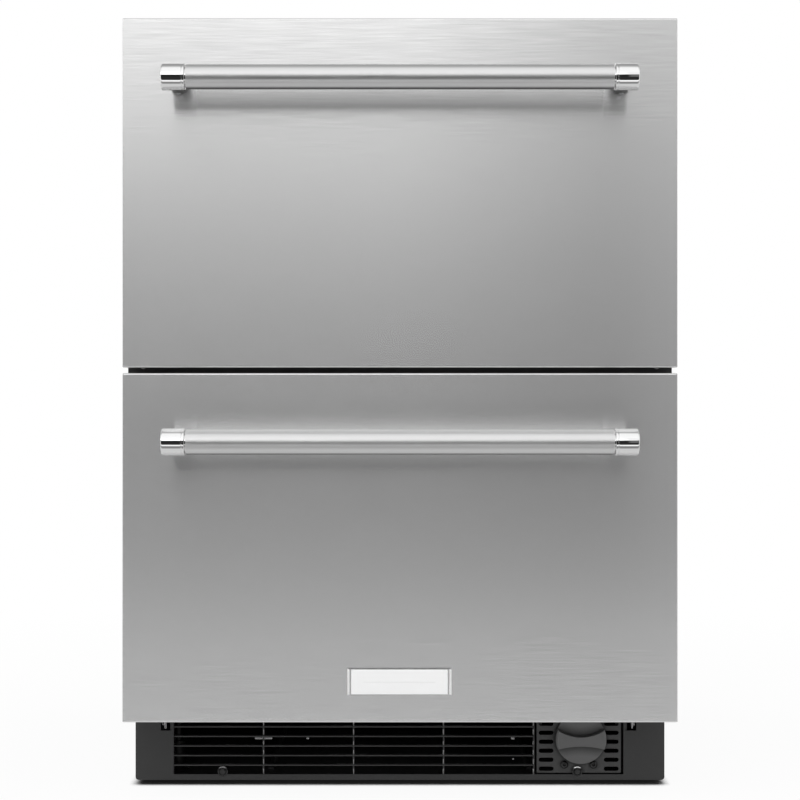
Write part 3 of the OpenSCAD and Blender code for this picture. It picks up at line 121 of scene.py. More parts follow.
class Finish(Nodes):
    """One material round a Principled shader, on Object coordinates in metres."""

    def __init__(self, name, colour, roughness, constants=None):
        self.material = bpy.data.materials.new(name)
        self.material.use_nodes = True
        self.material.diffuse_color = (*colour, 1)
        super().__init__(self.material.node_tree)
        self.shader = self.tree.nodes["Principled BSDF"]
        self.feed("Base Color", (*colour, 1))
        self.feed("Roughness", roughness)
        for socket, value in (constants or {}).items():
            self.feed(socket, value)

    def feed(self, socket, value):
        """Sets a socket of the shader, or links it where the value varies."""
        if isinstance(value, Value):
            self.tree.links.new(value.socket, self.shader.inputs[socket])
        else:
            self.shader.inputs[socket].default_value = value

    def place(self, scale=(1, 1, 1), shift=(0, 0, 0)):
        """Object coordinates, scaled along each axis and then shifted."""
        here = self.node("ShaderNodeTexCoord", outlet="Object")
        return self.node("ShaderNodeMapping", {}, {"Vector": here, "Scale": scale, "Location": shift})

    def noise(self, scale, stretch=(1, 1, 1), detail=3.0, shift=(0, 0, 0)):
        """Cloudy noise from 0 to 1, scale cells a metre, fewer along an axis stretched below 1."""
        sockets = {"Vector": self.place(stretch, shift), "Scale": scale, "Detail": detail}
        return self.node("ShaderNodeTexNoise", {}, sockets)

    def cells(self, scale, stretch=(1, 1, 1), outlet="Distance"):
        """Cells of a Voronoi pattern, scale a metre: the distance to each cell's point, or a colour."""
        sockets = {"Vector": self.place(stretch), "Scale": scale}
        return self.node("ShaderNodeTexVoronoi", {}, sockets, outlet)

    def ramp(self, value, *stops):
        """A colour that follows value through stops of (place, colour)."""
        return self.node("ShaderNodeValToRGB", {"stops": stops}, {"Fac": value})

    def along(self, axis):
        """The Object coordinate along one axis, in metres."""
        return self.node("ShaderNodeSeparateXYZ", {}, {0: self.place()}, axis)

    def mix(self, share, first, second):
        """A colour between first and second."""
        sockets = {"Factor_Float": share, "A_Color": first, "B_Color": second}
        return self.node("ShaderNodeMix", {"data_type": "RGBA"}, sockets, "Result")

    def bump(self, height, depth, strength=1.0):
        """Raises the surface by height times depth metres, in shading only."""
        sockets = {"Height": height, "Distance": depth, "Strength": strength}
        self.feed("Normal", self.node("ShaderNodeBump", {}, sockets))

    def paint(self, *names):
        """Puts the material on CAD nodes."""
        for name in names:
            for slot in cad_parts[name].material_slots:
                slot.material = self.material


def grey(shade):
    """A neutral colour."""
    return (shade, shade, shade)


def grey4(shade):
    """A neutral colour with full alpha."""
    return (shade, shade, shade, 1)


lacquer = {"Coat Weight": 0.25, "Coat Roughness": 0.12}
baked_black = Finish("baked_black_paint", grey(0.028), 0.34, lacquer)
peel = baked_black.noise(900, detail=2)
cloud = baked_black.noise(9, detail=4)
baked_black.feed("Base Color", baked_black.mix(cloud, grey4(0.022), grey4(0.034)))
baked_black.feed("Roughness", baked_black.level(cloud * 0.7 + peel * 0.3, 0.3, 0.7, 0.28, 0.42))
baked_black.bump(peel, 0.00012, 0.5)
baked_black.paint("cabinet_wrapper", "mullion_rail")

# ---- Base pan ----------------------------------------------------------------------------
# A folded steel tray under the machine space, between the sides. Its dull black primer is a
# guess: the photograph shows only that it is dark behind the grille.

primer = Finish("black_primer", grey(0.055), 0.8, {"Specular IOR Level": 0.15})
settled = primer.noise(60, detail=5)
primer.feed("Base Color", primer.mix(settled, grey4(0.045), grey4(0.065)))
primer.feed("Roughness", primer.level(settled, 0.3, 0.7, 0.72, 0.88))
primer.bump(settled, 0.0001, 0.4)
primer.paint("base_pan")

# ---- Galvanised and zinc-plated sheet ----------------------------------------------------
# The back, the deck over the machine space and the louvred rear cover are hot-dip galvanised
# sheet, with the flat crystals that zinc freezes into. Slide members and rails are bright
# zinc-plated steel with faint drawing lines. Legs and sockets are black zinc, set near black as
# painted shade for the shade they sit in behind the grille.

galvanised = Finish("galvanised_sheet", grey(0.58), 0.42, {"Metallic": 1.0})
crystal = galvanised.cells(95, outlet="Color")
facet = galvanised.level(crystal, 0.1, 0.9)
haze = galvanised.noise(14, detail=5)
galvanised.feed("Base Color", galvanised.mix(facet * 0.7 + haze * 0.3, grey4(0.46), grey4(0.68)))
galvanised.feed("Roughness", galvanised.level(facet, 0.0, 1.0, 0.34, 0.55) + haze * 0.06)
galvanised.bump(galvanised.noise(600, detail=2), 0.00006, 0.4)
galvanised.paint("back_panel", "deck_panel", "rear_cover")

zinc = Finish("bright_zinc", grey(0.60), 0.3, {"Metallic": 1.0})
drawn = zinc.noise(700, (1, 0.02, 1), detail=2)
zinc.feed("Base Color", zinc.mix(drawn, (0.50, 0.51, 0.53, 1), (0.68, 0.685, 0.69, 1)))
zinc.feed("Roughness", zinc.level(drawn, 0.25, 0.75, 0.24, 0.40))
zinc.bump(drawn, 0.00004, 0.5)
zinc.paint(
    *(f"{side}_{part}" for side in ("upper", "lower")
      for part in ("fixed_members", "middle_members", "inner_members", "rails"))
)

# Painted shade: the legs' and sockets' colour is set near black, for the shade they sit in behind the
# grille.
black_zinc = Finish("black_zinc", grey(0.008), 0.45, {"Metallic": 0.3})
passivated = black_zinc.noise(260, detail=4)
black_zinc.feed("Base Color", black_zinc.mix(passivated, grey4(0.004), grey4(0.010)))
black_zinc.feed("Roughness", black_zinc.level(passivated, 0.3, 0.7, 0.32, 0.5))
black_zinc.bump(passivated, 0.00005, 0.4)
black_zinc.paint("leg_sockets", "leg_front_left", "leg_front_right", "leg_rear_left", "leg_rear_right")

# ---- Insulation --------------------------------------------------------------------------
# Polyurethane foam, poured in place between the sheet and the liner and inside the fronts.
# It is cream coloured, with small open cells where it is cut.

foam = Finish("poured_foam", (0.78, 0.68, 0.44), 0.95)
pores = foam.cells(420)
cell_wall = foam.level(pores, 0.0, 0.6)
foam.feed("Base Color", foam.mix(cell_wall, (0.55, 0.44, 0.24, 1), (0.82, 0.73, 0.50, 1)))
foam.feed("Roughness", foam.level(pores, 0.0, 0.6, 1.0, 0.85))
foam.bump(pores, 0.0006, 0.7)
foam.paint("foam_insulation", "upper_foam", "lower_foam")

# ---- Liner, inner panels and moulded covers ----------------------------------------------
# Vacuum-formed and injection-moulded white plastic: the liner, the inner panels of the
# fronts and the evaporator cover. It has a soft gloss and a very fine moulded texture.

white_plastic = Finish("moulded_white", (0.84, 0.85, 0.86), 0.36)
texture = white_plastic.noise(1500, detail=2)
drift = white_plastic.noise(5, detail=3)
white_plastic.feed("Base Color", white_plastic.mix(drift, (0.80, 0.81, 0.82, 1), (0.87, 0.88, 0.885, 1)))
white_plastic.feed("Roughness", white_plastic.level(texture * 0.5 + drift * 0.5, 0.3, 0.7, 0.30, 0.44))
white_plastic.bump(texture, 0.00008, 0.4)
white_plastic.paint("cavity_liner", "upper_panel", "lower_panel", "evaporator_cover")

# ---- Bins and dividers -------------------------------------------------------------------
# Each drawer carries a deep moulded bin with a rolled rim, hung on the rails by its ledge,
# and a divider that slides along it. Both are a slightly cooler white with a smoother gloss.

bin_plastic = Finish("bin_plastic", (0.80, 0.83, 0.85), 0.26, {"Coat Weight": 0.15})
flow = bin_plastic.noise(30, (1, 1, 0.25), detail=4)
scuff = bin_plastic.noise(260, (0.2, 1, 1), detail=3)
bin_plastic.feed("Base Color", bin_plastic.mix(flow, (0.77, 0.80, 0.825, 1), (0.84, 0.865, 0.88, 1)))
bin_plastic.feed("Roughness", bin_plastic.level(scuff * 0.6 + flow * 0.4, 0.3, 0.7, 0.20, 0.36))
bin_plastic.bump(scuff, 0.00005, 0.3)
bin_plastic.paint("upper_bin", "lower_bin", "upper_divider", "lower_divider")

# ---- Controls and light ------------------------------------------------------------------
# A grey moulded housing under the cavity's ceiling holds three push buttons. Behind it is
# the ribbed, frosted lens of the cavity light.

housing_grey = Finish("housing_grey", (0.60, 0.61, 0.62), 0.4)
spark = housing_grey.noise(1300, detail=2)
housing_grey.feed("Base Color", housing_grey.mix(spark, (0.55, 0.56, 0.57, 1), (0.64, 0.65, 0.66, 1)))
housing_grey.feed("Roughness", housing_grey.level(spark, 0.3, 0.7, 0.34, 0.5))
housing_grey.bump(spark, 0.0001, 0.5)
housing_grey.paint("control_housing")

button_grey = Finish("button_grey", (0.26, 0.27, 0.28), 0.35)
rub = button_grey.noise(400, detail=3)
button_grey.feed("Base Color", button_grey.mix(rub, (0.22, 0.23, 0.24, 1), (0.30, 0.31, 0.32, 1)))
button_grey.feed("Roughness", button_grey.level(rub, 0.3, 0.7, 0.26, 0.44))
button_grey.bump(rub, 0.00004, 0.4)
button_grey.paint("power_button", "colder_button", "warmer_button")

frosted = Finish("frosted_lens", (0.92, 0.92, 0.90), 0.3, {"Emission Strength": 0.25})
ribs = frosted.node(
    "ShaderNodeTexWave", {"bands_direction": "X"}, {"Vector": frosted.place(), "Scale": 90.0}
)
frosted.feed("Base Color", frosted.mix(ribs, (0.86, 0.86, 0.84, 1), (0.95, 0.95, 0.93, 1)))
frosted.feed("Emission Color", frosted.mix(ribs, (0.85, 0.85, 0.82, 1), (1.0, 1.0, 0.97, 1)))
frosted.feed("Roughness", frosted.level(ribs, 0.0, 1.0, 0.24, 0.42))
frosted.bump(ribs, 0.0004, 0.7)
frosted.paint("light_lens")

# ---- Cold air ----------------------------------------------------------------------------
# Behind the cover sit the aluminium fin pack on its tubes, the small motor and its fan.

fins = Finish("fin_aluminium", grey(0.74), 0.32, {"Metallic": 1.0})
frost = fins.noise(160, detail=5)
fins.feed("Base Color", fins.mix(frost, (0.62, 0.64, 0.66, 1), (0.82, 0.83, 0.84, 1)))
fins.feed("Roughness", fins.level(frost, 0.3, 0.7, 0.22, 0.5))
fins.bump(frost, 0.00006, 0.5)
fins.paint("evaporator_coil", "evaporator_motor", "condenser_motor")

fan_white = Finish("fan_white", (0.78, 0.79, 0.79), 0.42)
bloom = fan_white.noise(220, detail=3)
fan_white.feed("Base Color", fan_white.mix(bloom, (0.72, 0.73, 0.73, 1), (0.82, 0.83, 0.83, 1)))
fan_white.feed("Roughness", fan_white.level(bloom, 0.3, 0.7, 0.36, 0.5))
fan_white.bump(bloom, 0.00005, 0.4)
fan_white.paint("evaporator_fan")

# ---- Machine space -----------------------------------------------------------------------
# A sealed compressor in black enamel on rubber mounts, a black painted condenser with its
# moulded shroud and fan, and the tray that the defrost water dries off in.

enamel = Finish("compressor_enamel", grey(0.020), 0.22, {"Coat Weight": 0.5, "Coat Roughness": 0.1})
sag = enamel.noise(60, (1, 1, 0.3), detail=4)
enamel.feed("Base Color", enamel.mix(sag, grey4(0.014), grey4(0.030)))
enamel.feed("Roughness", enamel.level(sag, 0.3, 0.7, 0.16, 0.34))
enamel.bump(sag, 0.0004, 0.4)
enamel.paint("compressor", "condenser_coil")

dark_moulding = Finish("dark_moulding", grey(0.028), 0.48)
grainy = dark_moulding.noise(1100, detail=2)
dark_moulding.feed("Base Color", dark_moulding.mix(grainy, grey4(0.022), grey4(0.036)))
dark_moulding.feed("Roughness", dark_moulding.level(grainy, 0.3, 0.7, 0.40, 0.58))
dark_moulding.bump(grainy, 0.0001, 0.6)
dark_moulding.paint("condenser_shroud", "condenser_fan", "drain_pan")

# ---- Rubber ------------------------------------------------------------------------------
# Extruded magnetic gaskets on the fronts, the compressor's mounts and the cord's bush. Soft
# black rubber with a dry bloom and no gloss.

rubber = Finish("black_rubber", grey(0.016), 0.72)
dust = rubber.noise(350, detail=4)
rubber.feed("Base Color", rubber.mix(dust, grey4(0.010), grey4(0.024)))
rubber.feed("Roughness", rubber.level(dust, 0.3, 0.7, 0.62, 0.84))
rubber.bump(dust, 0.0001, 0.5)
rubber.paint("upper_gasket", "lower_gasket", "cord_gland", "compressor_mounts")

# ---- Drawer fronts -----------------------------------------------------------------------
# Each front is a drawn pan of stainless sheet with softly rounded edges. It is brushed from
# side to side, so it carries long fine horizontal lines and smears what it reflects upwards
# and downwards.


def brushed(name, low, high, smooth, rough, grain, length):
    """Stainless with lines along X: grain lines a metre across them, each length metres long."""
    steel = Finish(name, grey((low + high) / 2), (smooth + rough) / 2, {
        "Metallic": 0.84, "Anisotropic": 0.95, "Anisotropic Rotation": 0.25,
    })
    stretch = 1 / (length * grain)
    lines = steel.noise(grain, (stretch, 1, 1), detail=3)
    hairs = steel.noise(grain * 2.7, (stretch * 0.5, 1, 1), detail=2, shift=(3, 0, 0))
    rolled = steel.noise(2.2, (0.5, 1, 1), detail=3)
    tone = lines * 0.5 + hairs * 0.35 + rolled * 0.15
    steel.feed("Base Color", steel.mix(steel.level(tone, 0.32, 0.68), grey4(low), grey4(high)))
    steel.feed("Roughness", steel.level(tone, 0.3, 0.7, rough, smooth))
    steel.bump(lines * 0.6 + hairs * 0.4, 0.00003, 0.35)
    return steel


front_steel = brushed(
    "brushed_front", low=0.76, high=0.90, smooth=0.17, rough=0.23, grain=620, length=0.06)
front_steel.paint("upper_skin", "lower_skin")

# ---- Handles -----------------------------------------------------------------------------
# Each handle is a satin stainless tube held between two polished ends. An end is a turned cap
# with a rounded collar where it meets the tube, on a round post that runs back to the front
# and is fixed from below by a socket set screw. Along the bottom of each tube a dark band is
# painted into the colour: a painted reflection of the dark below, which this studio doesn't
# reflect there.

satin_steel = Finish("satin_bar", grey(0.78), 0.4, {"Metallic": 1.0})
ringed = satin_steel.noise(900, (0.02, 1, 1), detail=3)
between_bars = 0.6
bar_height = satin_steel.along("Z")
# Painted reflection: the colour falls to dark grey within 2 mm of each tube's bottom.
painted_shade_lower, painted_shade_upper = [
    satin_steel.level(bar_height, low + 0.0006, low + 0.0020, 1.0, 0.0)
    for low in (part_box("lower_handle_bar")[0][2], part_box("upper_handle_bar")[0][2])
]
painted_dark_band = painted_shade_lower + painted_shade_upper * (bar_height > between_bars)
satin_tone = satin_steel.mix(ringed, grey4(0.74), grey4(0.82))
satin_steel.feed("Base Color", satin_steel.mix(painted_dark_band, satin_tone, grey4(0.16)))
satin_steel.feed("Roughness", satin_steel.level(ringed, 0.3, 0.7, 0.36, 0.43))
satin_steel.bump(ringed, 0.00002, 0.3)
satin_steel.paint("upper_handle_bar", "lower_handle_bar")

polished = Finish("polished_end", grey(0.90), 0.05, {"Metallic": 1.0})
wipe = polished.noise(120, (0.3, 1, 1), detail=4)
polished.feed("Base Color", polished.mix(wipe, grey4(0.88), grey4(0.93)))
polished.feed("Roughness", polished.level(wipe, 0.35, 0.75, 0.03, 0.09))
polished.bump(wipe, 0.00001, 0.15)

# Painted shade: a steel colour far darker than the polished ends, put on the posts for the dark front
# they mirror, and on the strip of painted shadow over the bare plate.
painted_dark_steel = Finish("painted_dark_steel", grey(0.16), 0.34, {"Metallic": 1.0})
lathe = painted_dark_steel.noise(800, (1, 0.05, 1), detail=2)
painted_dark_steel.feed("Base Color", painted_dark_steel.mix(lathe, grey4(0.13), grey4(0.19)))
painted_dark_steel.feed("Roughness", painted_dark_steel.level(lathe, 0.3, 0.7, 0.28, 0.40))
painted_dark_steel.bump(lathe, 0.00002, 0.3)


def eased(corners, radii, steps=7):
    """A (k, 2) outline with each inner corner P eased by the curve (1-t)^2 A + 2t(1-t) P + t^2 B,
    where A and B lie one radius from P along its two sides."""
    corners = np.asarray(corners, float)
    radii = np.asarray(radii, float)[:, None]
    before, point, after = corners[:-2], corners[1:-1], corners[2:]
    back, ahead = before - point, after - point
    a = point + back / np.linalg.norm(back, axis=1, keepdims=True) * radii
    b = point + ahead / np.linalg.norm(ahead, axis=1, keepdims=True) * radii
    t = np.linspace(0, 1, steps)[None, :, None]
    curve = (1 - t) ** 2 * a[:, None] + 2 * t * (1 - t) * point[:, None] + t ** 2 * b[:, None]
    return np.concatenate([corners[:1], curve.reshape(-1, 2), corners[-1:]])


def turned(profile, start, along, across, steps=64):
    """A profile of (distance, radius) turned about an axis: the point at distance a and angle w is
    start + a along + radius (cos w across + sin w along x across)."""
    along, across = np.asarray(along, float), np.asarray(across, float)
    w = np.linspace(0, 2 * math.pi, steps + 1)[:, None, None]
    ring = np.cos(w) * across + np.sin(w) * np.cross(along, across)
    distance, radius = profile[None, :, :1], profile[None, :, 1:]
    return np.asarray(start) + distance * along + radius * ring


def joined(name, grids, finish, body, crease=40):
    """One piece from (n, m, 3) grids of points, its seams and poles merged, riding on a body."""
    points, faces, start = [], [], 0
    for grid in grids:
        rows, columns = grid.shape[:2]
        index = start + np.arange(rows * columns).reshape(rows, columns)
        quads = np.stack([index[:-1, :-1], index[1:, :-1], index[1:, 1:], index[:-1, 1:]], -1)
        points.append(grid.reshape(-1, 3))
        faces.append(quads.reshape(-1, 4))
        start += rows * columns
    mesh = bpy.data.meshes.new(name)
    mesh.from_pydata(np.concatenate(points), [], np.concatenate(faces))
    work = bmesh.new()
    work.from_mesh(mesh)
    bmesh.ops.remove_doubles(work, verts=work.verts, dist=2e-6)
    bmesh.ops.dissolve_degenerate(work, edges=work.edges, dist=1e-6)
    bmesh.ops.recalc_face_normals(work, faces=work.faces)
    work.to_mesh(mesh)
    work.free()
    mesh.shade_smooth()
    mesh.set_sharp_from_angle(angle=math.radians(crease))
    mesh.materials.append(finish.material)
    piece = bpy.data.objects.new(name, mesh)
    bpy.context.scene.collection.objects.link(piece)
    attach(piece, body)
    return piece


cap_r = 0.0145
cap_end = 0.0125
post_r = 0.0104
foot_r = post_r - 0.0008
set_screw_back = 0.0115
cap_profile = eased(
    [(-cap_end - 0.004, 0.0), (-cap_end - 0.004, 0.0110), (-cap_end, 0.0110), (-cap_end, cap_r),
     (-cap_end + 0.0026, cap_r), (-cap_end + 0.0031, cap_r - 0.0009),
     (-cap_end + 0.0036, cap_r - 0.0002), (cap_end, cap_r - 0.0002), (cap_end, 0.0)],
    [0.0003, 0.0003, 0.0011, 0.0005, 0.0003, 0.0002, 0.0022],
)
for side in ("upper", "lower"):
    ends_low, ends_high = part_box(f"{side}_handle_ends")
    ends_x = ends_high[0] - cap_end
    axis_y = ends_low[1] + cap_r
    axis_z = (ends_low[2] + ends_high[2]) / 2
    reach = ends_high[1] - axis_y
    post_profile = eased(
        [(0.004, post_r), (reach - 0.0018, post_r), (reach - 0.0010, foot_r), (reach, foot_r)],
        [0.0005, 0.0004],
    )
    middles = [(hand * ends_x, axis_y, axis_z) for hand in (-1, 1)]
    caps = [turned(cap_profile, at, (math.copysign(1, at[0]), 0, 0), (0, 0, 1)) for at in middles]
    ends = joined(f"{side}_polished_ends", caps, polished, f"{side}_drawer", 50)
    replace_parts(ends, f"{side}_handle_ends")
    posts = [turned(post_profile, at, (0, 1, 0), (0, 0, 1)) for at in middles]
    joined(f"{side}_posts", posts, painted_dark_steel, f"{side}_drawer", 50)

    set_profile = eased(
        [(0.0, 0.0), (0.0, 0.0011), (0.0012, 0.0013), (0.0014, 0.0016),
         (0.0014, 0.0022), (0.0, 0.0024)],
        [0.0002, 0.0002, 0.0001, 0.0002],
    )
    screws = [
        turned(set_profile, (hand * ends_x, axis_y + reach - set_screw_back, axis_z - post_r + 0.0006),
               (0, 0, -1), (1, 0, 0), 24)
        for hand in (-1, 1)
    ]
    joined(f"{side}_set_screws", screws, zinc, f"{side}_drawer")

# ---- Bare plate on the lower front -------------------------------------------------------
# A pale satin plate on the lower front, slightly crowned, between two bright end bars. It is
# left bare. A thin raised dark strip over it is a painted shadow: the dark line along the
# plate's top edge.


def pad(middle, half, corner, profile, crown=0.0):
    """A rounded rectangle carried in along a profile of (inset, height) towards -Y: at inset d its
    half sizes are half - d and its corner max(corner - d, tiny), and crown (1 - (x / half)^2)
    is added to the height."""
    profile = np.asarray(profile, float)
    inset = profile[None, :, 0]
    radius = np.maximum(corner - inset, 5e-5)
    quarter = np.append(np.repeat(np.arange(4), 9), 0)[:, None]
    w = quarter * math.pi / 2 + np.append(np.tile(np.linspace(0, math.pi / 2, 9), 4), 0)[:, None]
    east = np.where((quarter == 0) | (quarter == 3), 1, -1)
    north = np.where(quarter < 2, 1, -1)
    x = east * np.maximum(half[0] - inset - radius, 0) + radius * np.cos(w)
    z = north * np.maximum(half[1] - inset - radius, 0) + radius * np.sin(w)
    lift = profile[None, :, 1] + crown * (1 - (x / half[0]) ** 2) * (profile[None, :, 1] > 0)
    return np.stack([middle[0] + x, middle[1] - lift, middle[2] + z], -1)


satin_plate = Finish("satin_plate", grey(0.90), 0.4, {"Metallic": 0.1, "Coat Weight": 0.2})
fine = satin_plate.noise(1500, detail=2)
satin_plate.feed("Base Color", satin_plate.mix(fine, grey4(0.96), grey4(0.99)))
satin_plate.feed("Roughness", satin_plate.level(fine, 0.3, 0.7, 0.36, 0.46))
satin_plate.bump(fine, 0.00001, 0.2)

skin_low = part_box("lower_skin")[0]
plate_x, plate_y, plate_z = -0.0006, skin_low[1], skin_low[2] + 0.0443
plate_half = (0.0526, 0.0134)
edge = eased([(0, -0.0003), (0, 0.0018), (0.0009, 0.0021), (plate_half[1], 0.0021)], [0.0004, 0.0004])
bare_plate = [pad((plate_x, plate_y, plate_z), plate_half, 0.0006, edge, crown=0.0002)]
joined("bare_plate", bare_plate, satin_plate, "lower_drawer", 30)
end_bar_x, end_bar_half = 0.0556, (0.0011, 0.0138)
bar_edge = eased([(0, -0.0003), (0, 0.0020), (0.0011, 0.0026)], [0.0006])
bars = [
    pad((plate_x + hand * end_bar_x, plate_y, plate_z), end_bar_half, 0.0005, bar_edge)
    for hand in (-1, 1)
]
joined("plate_end_bars", bars, satin_plate, "lower_drawer")
# Painted shadow: a thin strip of dark steel colour just over the plate's top edge.
shadow_strip_z = plate_z + plate_half[1] + 0.0014
shadow_strip_edge = eased([(0, -0.0003), (0, 0.0004), (0.0002, 0.0006)], [0.0001])
painted_shadow_strip = [pad((plate_x, plate_y, shadow_strip_z), (end_bar_x, 0.0004), 0.0002, shadow_strip_edge)]
joined("plate_painted_shadow", painted_shadow_strip, painted_dark_steel, "lower_drawer")

# ---- Toe ---------------------------------------------------------------------------------
# A shallow black pan closes the base. A louvred grille fills its opening, with a slotted
# plate at its right end that holds the round quarter-turn cap. The plate's and the cap's
# hollows carry painted shade: their colour falls to dark inside them.

toe_paint = Finish("toe_powder_coat", grey(0.025), 0.5)
speck = toe_paint.noise(1400, detail=2)
toe_paint.feed("Base Color", toe_paint.mix(speck, grey4(0.026), grey4(0.036)))
toe_paint.feed("Roughness", toe_paint.level(speck, 0.3, 0.7, 0.42, 0.6))
toe_paint.bump(speck, 0.00015, 0.6)
toe_paint.paint("toe_panel")

grille_black = Finish("grille_black", grey(0.020), 0.42)
matt = grille_black.noise(1200, detail=2)
grille_black.feed("Base Color", grille_black.mix(matt, grey4(0.030), grey4(0.044)))
grille_black.feed("Roughness", grille_black.level(matt, 0.3, 0.7, 0.34, 0.52))
grille_black.bump(matt, 0.0001, 0.5)
grille_black.paint("toe_grille")


def painted_hollow_shade(finish, reach, dark, light):
    """Painted shade: a neutral colour that falls from light to dark inside hollows narrower than reach
    metres.
    """
    open_sky = finish.node("ShaderNodeAmbientOcclusion", {"samples": 12}, {"Distance": reach}, "AO")
    return finish.mix(open_sky ** 3, grey4(dark), grey4(light))


plate_black = Finish("plate_black", grey(0.04), 0.5)
stipple = plate_black.noise(1500, detail=2)
# Painted shade darkens the plate's slots and hollows.
plate_black.feed("Base Color", painted_hollow_shade(plate_black, 0.004, 0.005, 0.048))
plate_black.feed("Roughness", plate_black.level(stipple, 0.3, 0.7, 0.42, 0.6))
plate_black.bump(stipple, 0.00012, 0.6)
plate_black.paint("filter_plate")

cap_black = Finish("cap_black", grey(0.08), 0.36)
sheen = cap_black.noise(500, detail=3)
# Painted shade darkens the cap's hollows.
cap_black.feed("Base Color", painted_hollow_shade(cap_black, 0.012, 0.003, 0.12))
cap_black.feed("Roughness", cap_black.level(sheen, 0.3, 0.7, 0.30, 0.44))
cap_black.bump(sheen, 0.00006, 0.4)
cap_black.paint("filter_cap")

# The two large screws have a flange round a domed middle, the small ones a round recess. All
# four are black zinc and glossy. The top of the large flanges carries a painted highlight in
# the colour, strongest at the right.

screws_low, screws_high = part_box("toe_screws")
large_r, large_rise = 0.0060, 0.0024
large_z = screws_low[2] + large_r
screw_black = Finish("screw_black", grey(0.10), 0.22, {"Metallic": 1.0})
oily = screw_black.noise(300, detail=3)
large_x = -screws_low[0] - large_r
screw_sideways = screw_black.along("X")
# Painted highlight: near-white colour on the top rim of the large flanges, a quarter as strong at the
# left.
highlight_rim_band = screw_black.level(screw_black.along("Z"), large_z + 0.0036, large_z + 0.0046)
off_middle = (screw_sideways.maths("ABSOLUTE") - large_x).maths("ABSOLUTE")
on_large = screw_black.level(off_middle, 0.0065, 0.0075, 1.0, 0.0)
painted_rim_highlight = highlight_rim_band * on_large * screw_black.level(screw_sideways, -0.1, 0.1, 0.25, 1.0)
plating = screw_black.mix(oily, grey4(0.03), grey4(0.08))
screw_black.feed("Base Color", screw_black.mix(painted_rim_highlight, plating, grey4(0.90)))
screw_black.feed("Roughness", screw_black.level(oily, 0.3, 0.7, 0.18, 0.30))
screw_black.bump(oily, 0.00002, 0.3)
under_head = -0.0012
small_left_x, small_right_x = 0.18825, 0.22165
large_head = eased(
    [(under_head, 0.0), (under_head, large_r), (0.0008, large_r), (0.0015, 0.0046),
     (0.0005, 0.0041), (0.0006, 0.0034), (large_rise, 0.0031), (large_rise, 0.0)],
    [0.0001, 0.0005, 0.0005, 0.0003, 0.0003, 0.0008],
)
small_r = 0.00435
small_head = eased(
    [(under_head, 0.0), (under_head, small_r), (0.0, small_r), (0.0017, 0.0026),
     (0.0017, 0.0018), (0.0003, 0.0006), (0.0003, 0.0)],
    [0.0001, 0.0004, 0.0006, 0.0002, 0.0002],
)
seat_y = screws_low[1] + large_rise
small_z = screws_high[2] - small_r
heads = [
    turned(head, (x, seat_y, z), (0, -1, 0), (1, 0, 0), 32)
    for head, x, z in (
        (large_head, -large_x, large_z), (large_head, large_x, large_z),
        (small_head, small_left_x, small_z), (small_head, small_right_x, small_z))
]
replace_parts(joined("black_screw_heads", heads, screw_black, "cabinet", 30), "toe_screws")

# ---- Small steel behind the toe ----------------------------------------------------------
# Small pale marks show in the two clip windows, behind the louvres and at the ends of the gap
# between the fronts. What most of them are is a guess: spring clips and two screw heads, in
# dull zinc. The pale strips on the grille's ribs are painted highlights, in the same colour,
# for light off the ribs' edges.

zinc_and_highlight_paint = Finish("zinc_and_highlight_paint", grey(0.45), 0.5, {"Metallic": 0.25})
tarnish = zinc_and_highlight_paint.noise(400, detail=3)
zinc_and_highlight_paint.feed("Base Color", zinc_and_highlight_paint.mix(tarnish, grey4(0.42), grey4(0.62)))
zinc_and_highlight_paint.feed("Roughness", zinc_and_highlight_paint.level(tarnish, 0.3, 0.7, 0.42, 0.58))
zinc_and_highlight_paint.bump(tarnish, 0.00003, 0.3)

toe_y, toe_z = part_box("toe_panel")[0][1:]
window_z = toe_z + 0.0622
clip_edge = eased([(0, -0.001), (0, 0.0006), (0.0010, 0.0010)], [0.0004])
window_clips = [
    pad((x, toe_y + 0.0045, window_z + up), (width, high), 0.0008, clip_edge)
    for x, up, width, high in (
        (-0.2693, 0.0, 0.0012, 0.0042), (-0.2713, 0.0020, 0.0016, 0.0022),
        (0.2666, 0.0, 0.0010, 0.0042), (0.2683, 0.0018, 0.0012, 0.0024))
]
joined("window_clips", window_clips, zinc_and_highlight_paint, "cabinet")
grille_clips = [
    pad((x, toe_y + 0.0060, toe_z + up), (width, high), 0.0006, clip_edge)
    for x, up, width, high in (
        (-0.1568, 0.0466, 0.0100, 0.0010), (-0.1060, 0.0466, 0.0015, 0.0010),
        (0.1295, 0.0466, 0.0020, 0.0010), (0.1300, 0.0228, 0.0010, 0.0007))
]
joined("grille_clips", grille_clips, zinc_and_highlight_paint, "cabinet")
rib_x = (-0.1566, -0.0533, 0.0498, 0.1531)
between_blades = (
    (0.0625, 0.0030), (0.0541, 0.0030), (0.0408, 0.0027), (0.0304, 0.0030), (0.0197, 0.0035),
    (0.0087, 0.0033))
# Painted highlight: pale strips on the ribs, between the blades, stand for light off the ribs' edges.
rib_edge_highlights = [
    pad((x, toe_y + 0.0046, toe_z + middle), (0.0006, tall), 0.0003, clip_edge)
    for x in rib_x for middle, tall in between_blades
]
joined("rib_edge_highlights", rib_edge_highlights, zinc_and_highlight_paint, "cabinet")
rail_low, rail_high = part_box("mullion_rail")
rail_screw_x, rail_screw_z = 0.2860, (rail_low[2] + rail_high[2]) / 2 + 0.0044
head_profile = eased(
    [(-0.0005, 0.0028), (0.0006, 0.0028), (0.0016, 0.0014), (0.0016, 0.0)], [0.0003, 0.0006])
rail_screws = [
    turned(head_profile, (hand * rail_screw_x, rail_low[1], rail_screw_z), (0, -1, 0), (1, 0, 0), 24)
    for hand in (-1, 1)
]
joined("rail_screws", rail_screws, zinc_and_highlight_paint, "cabinet")

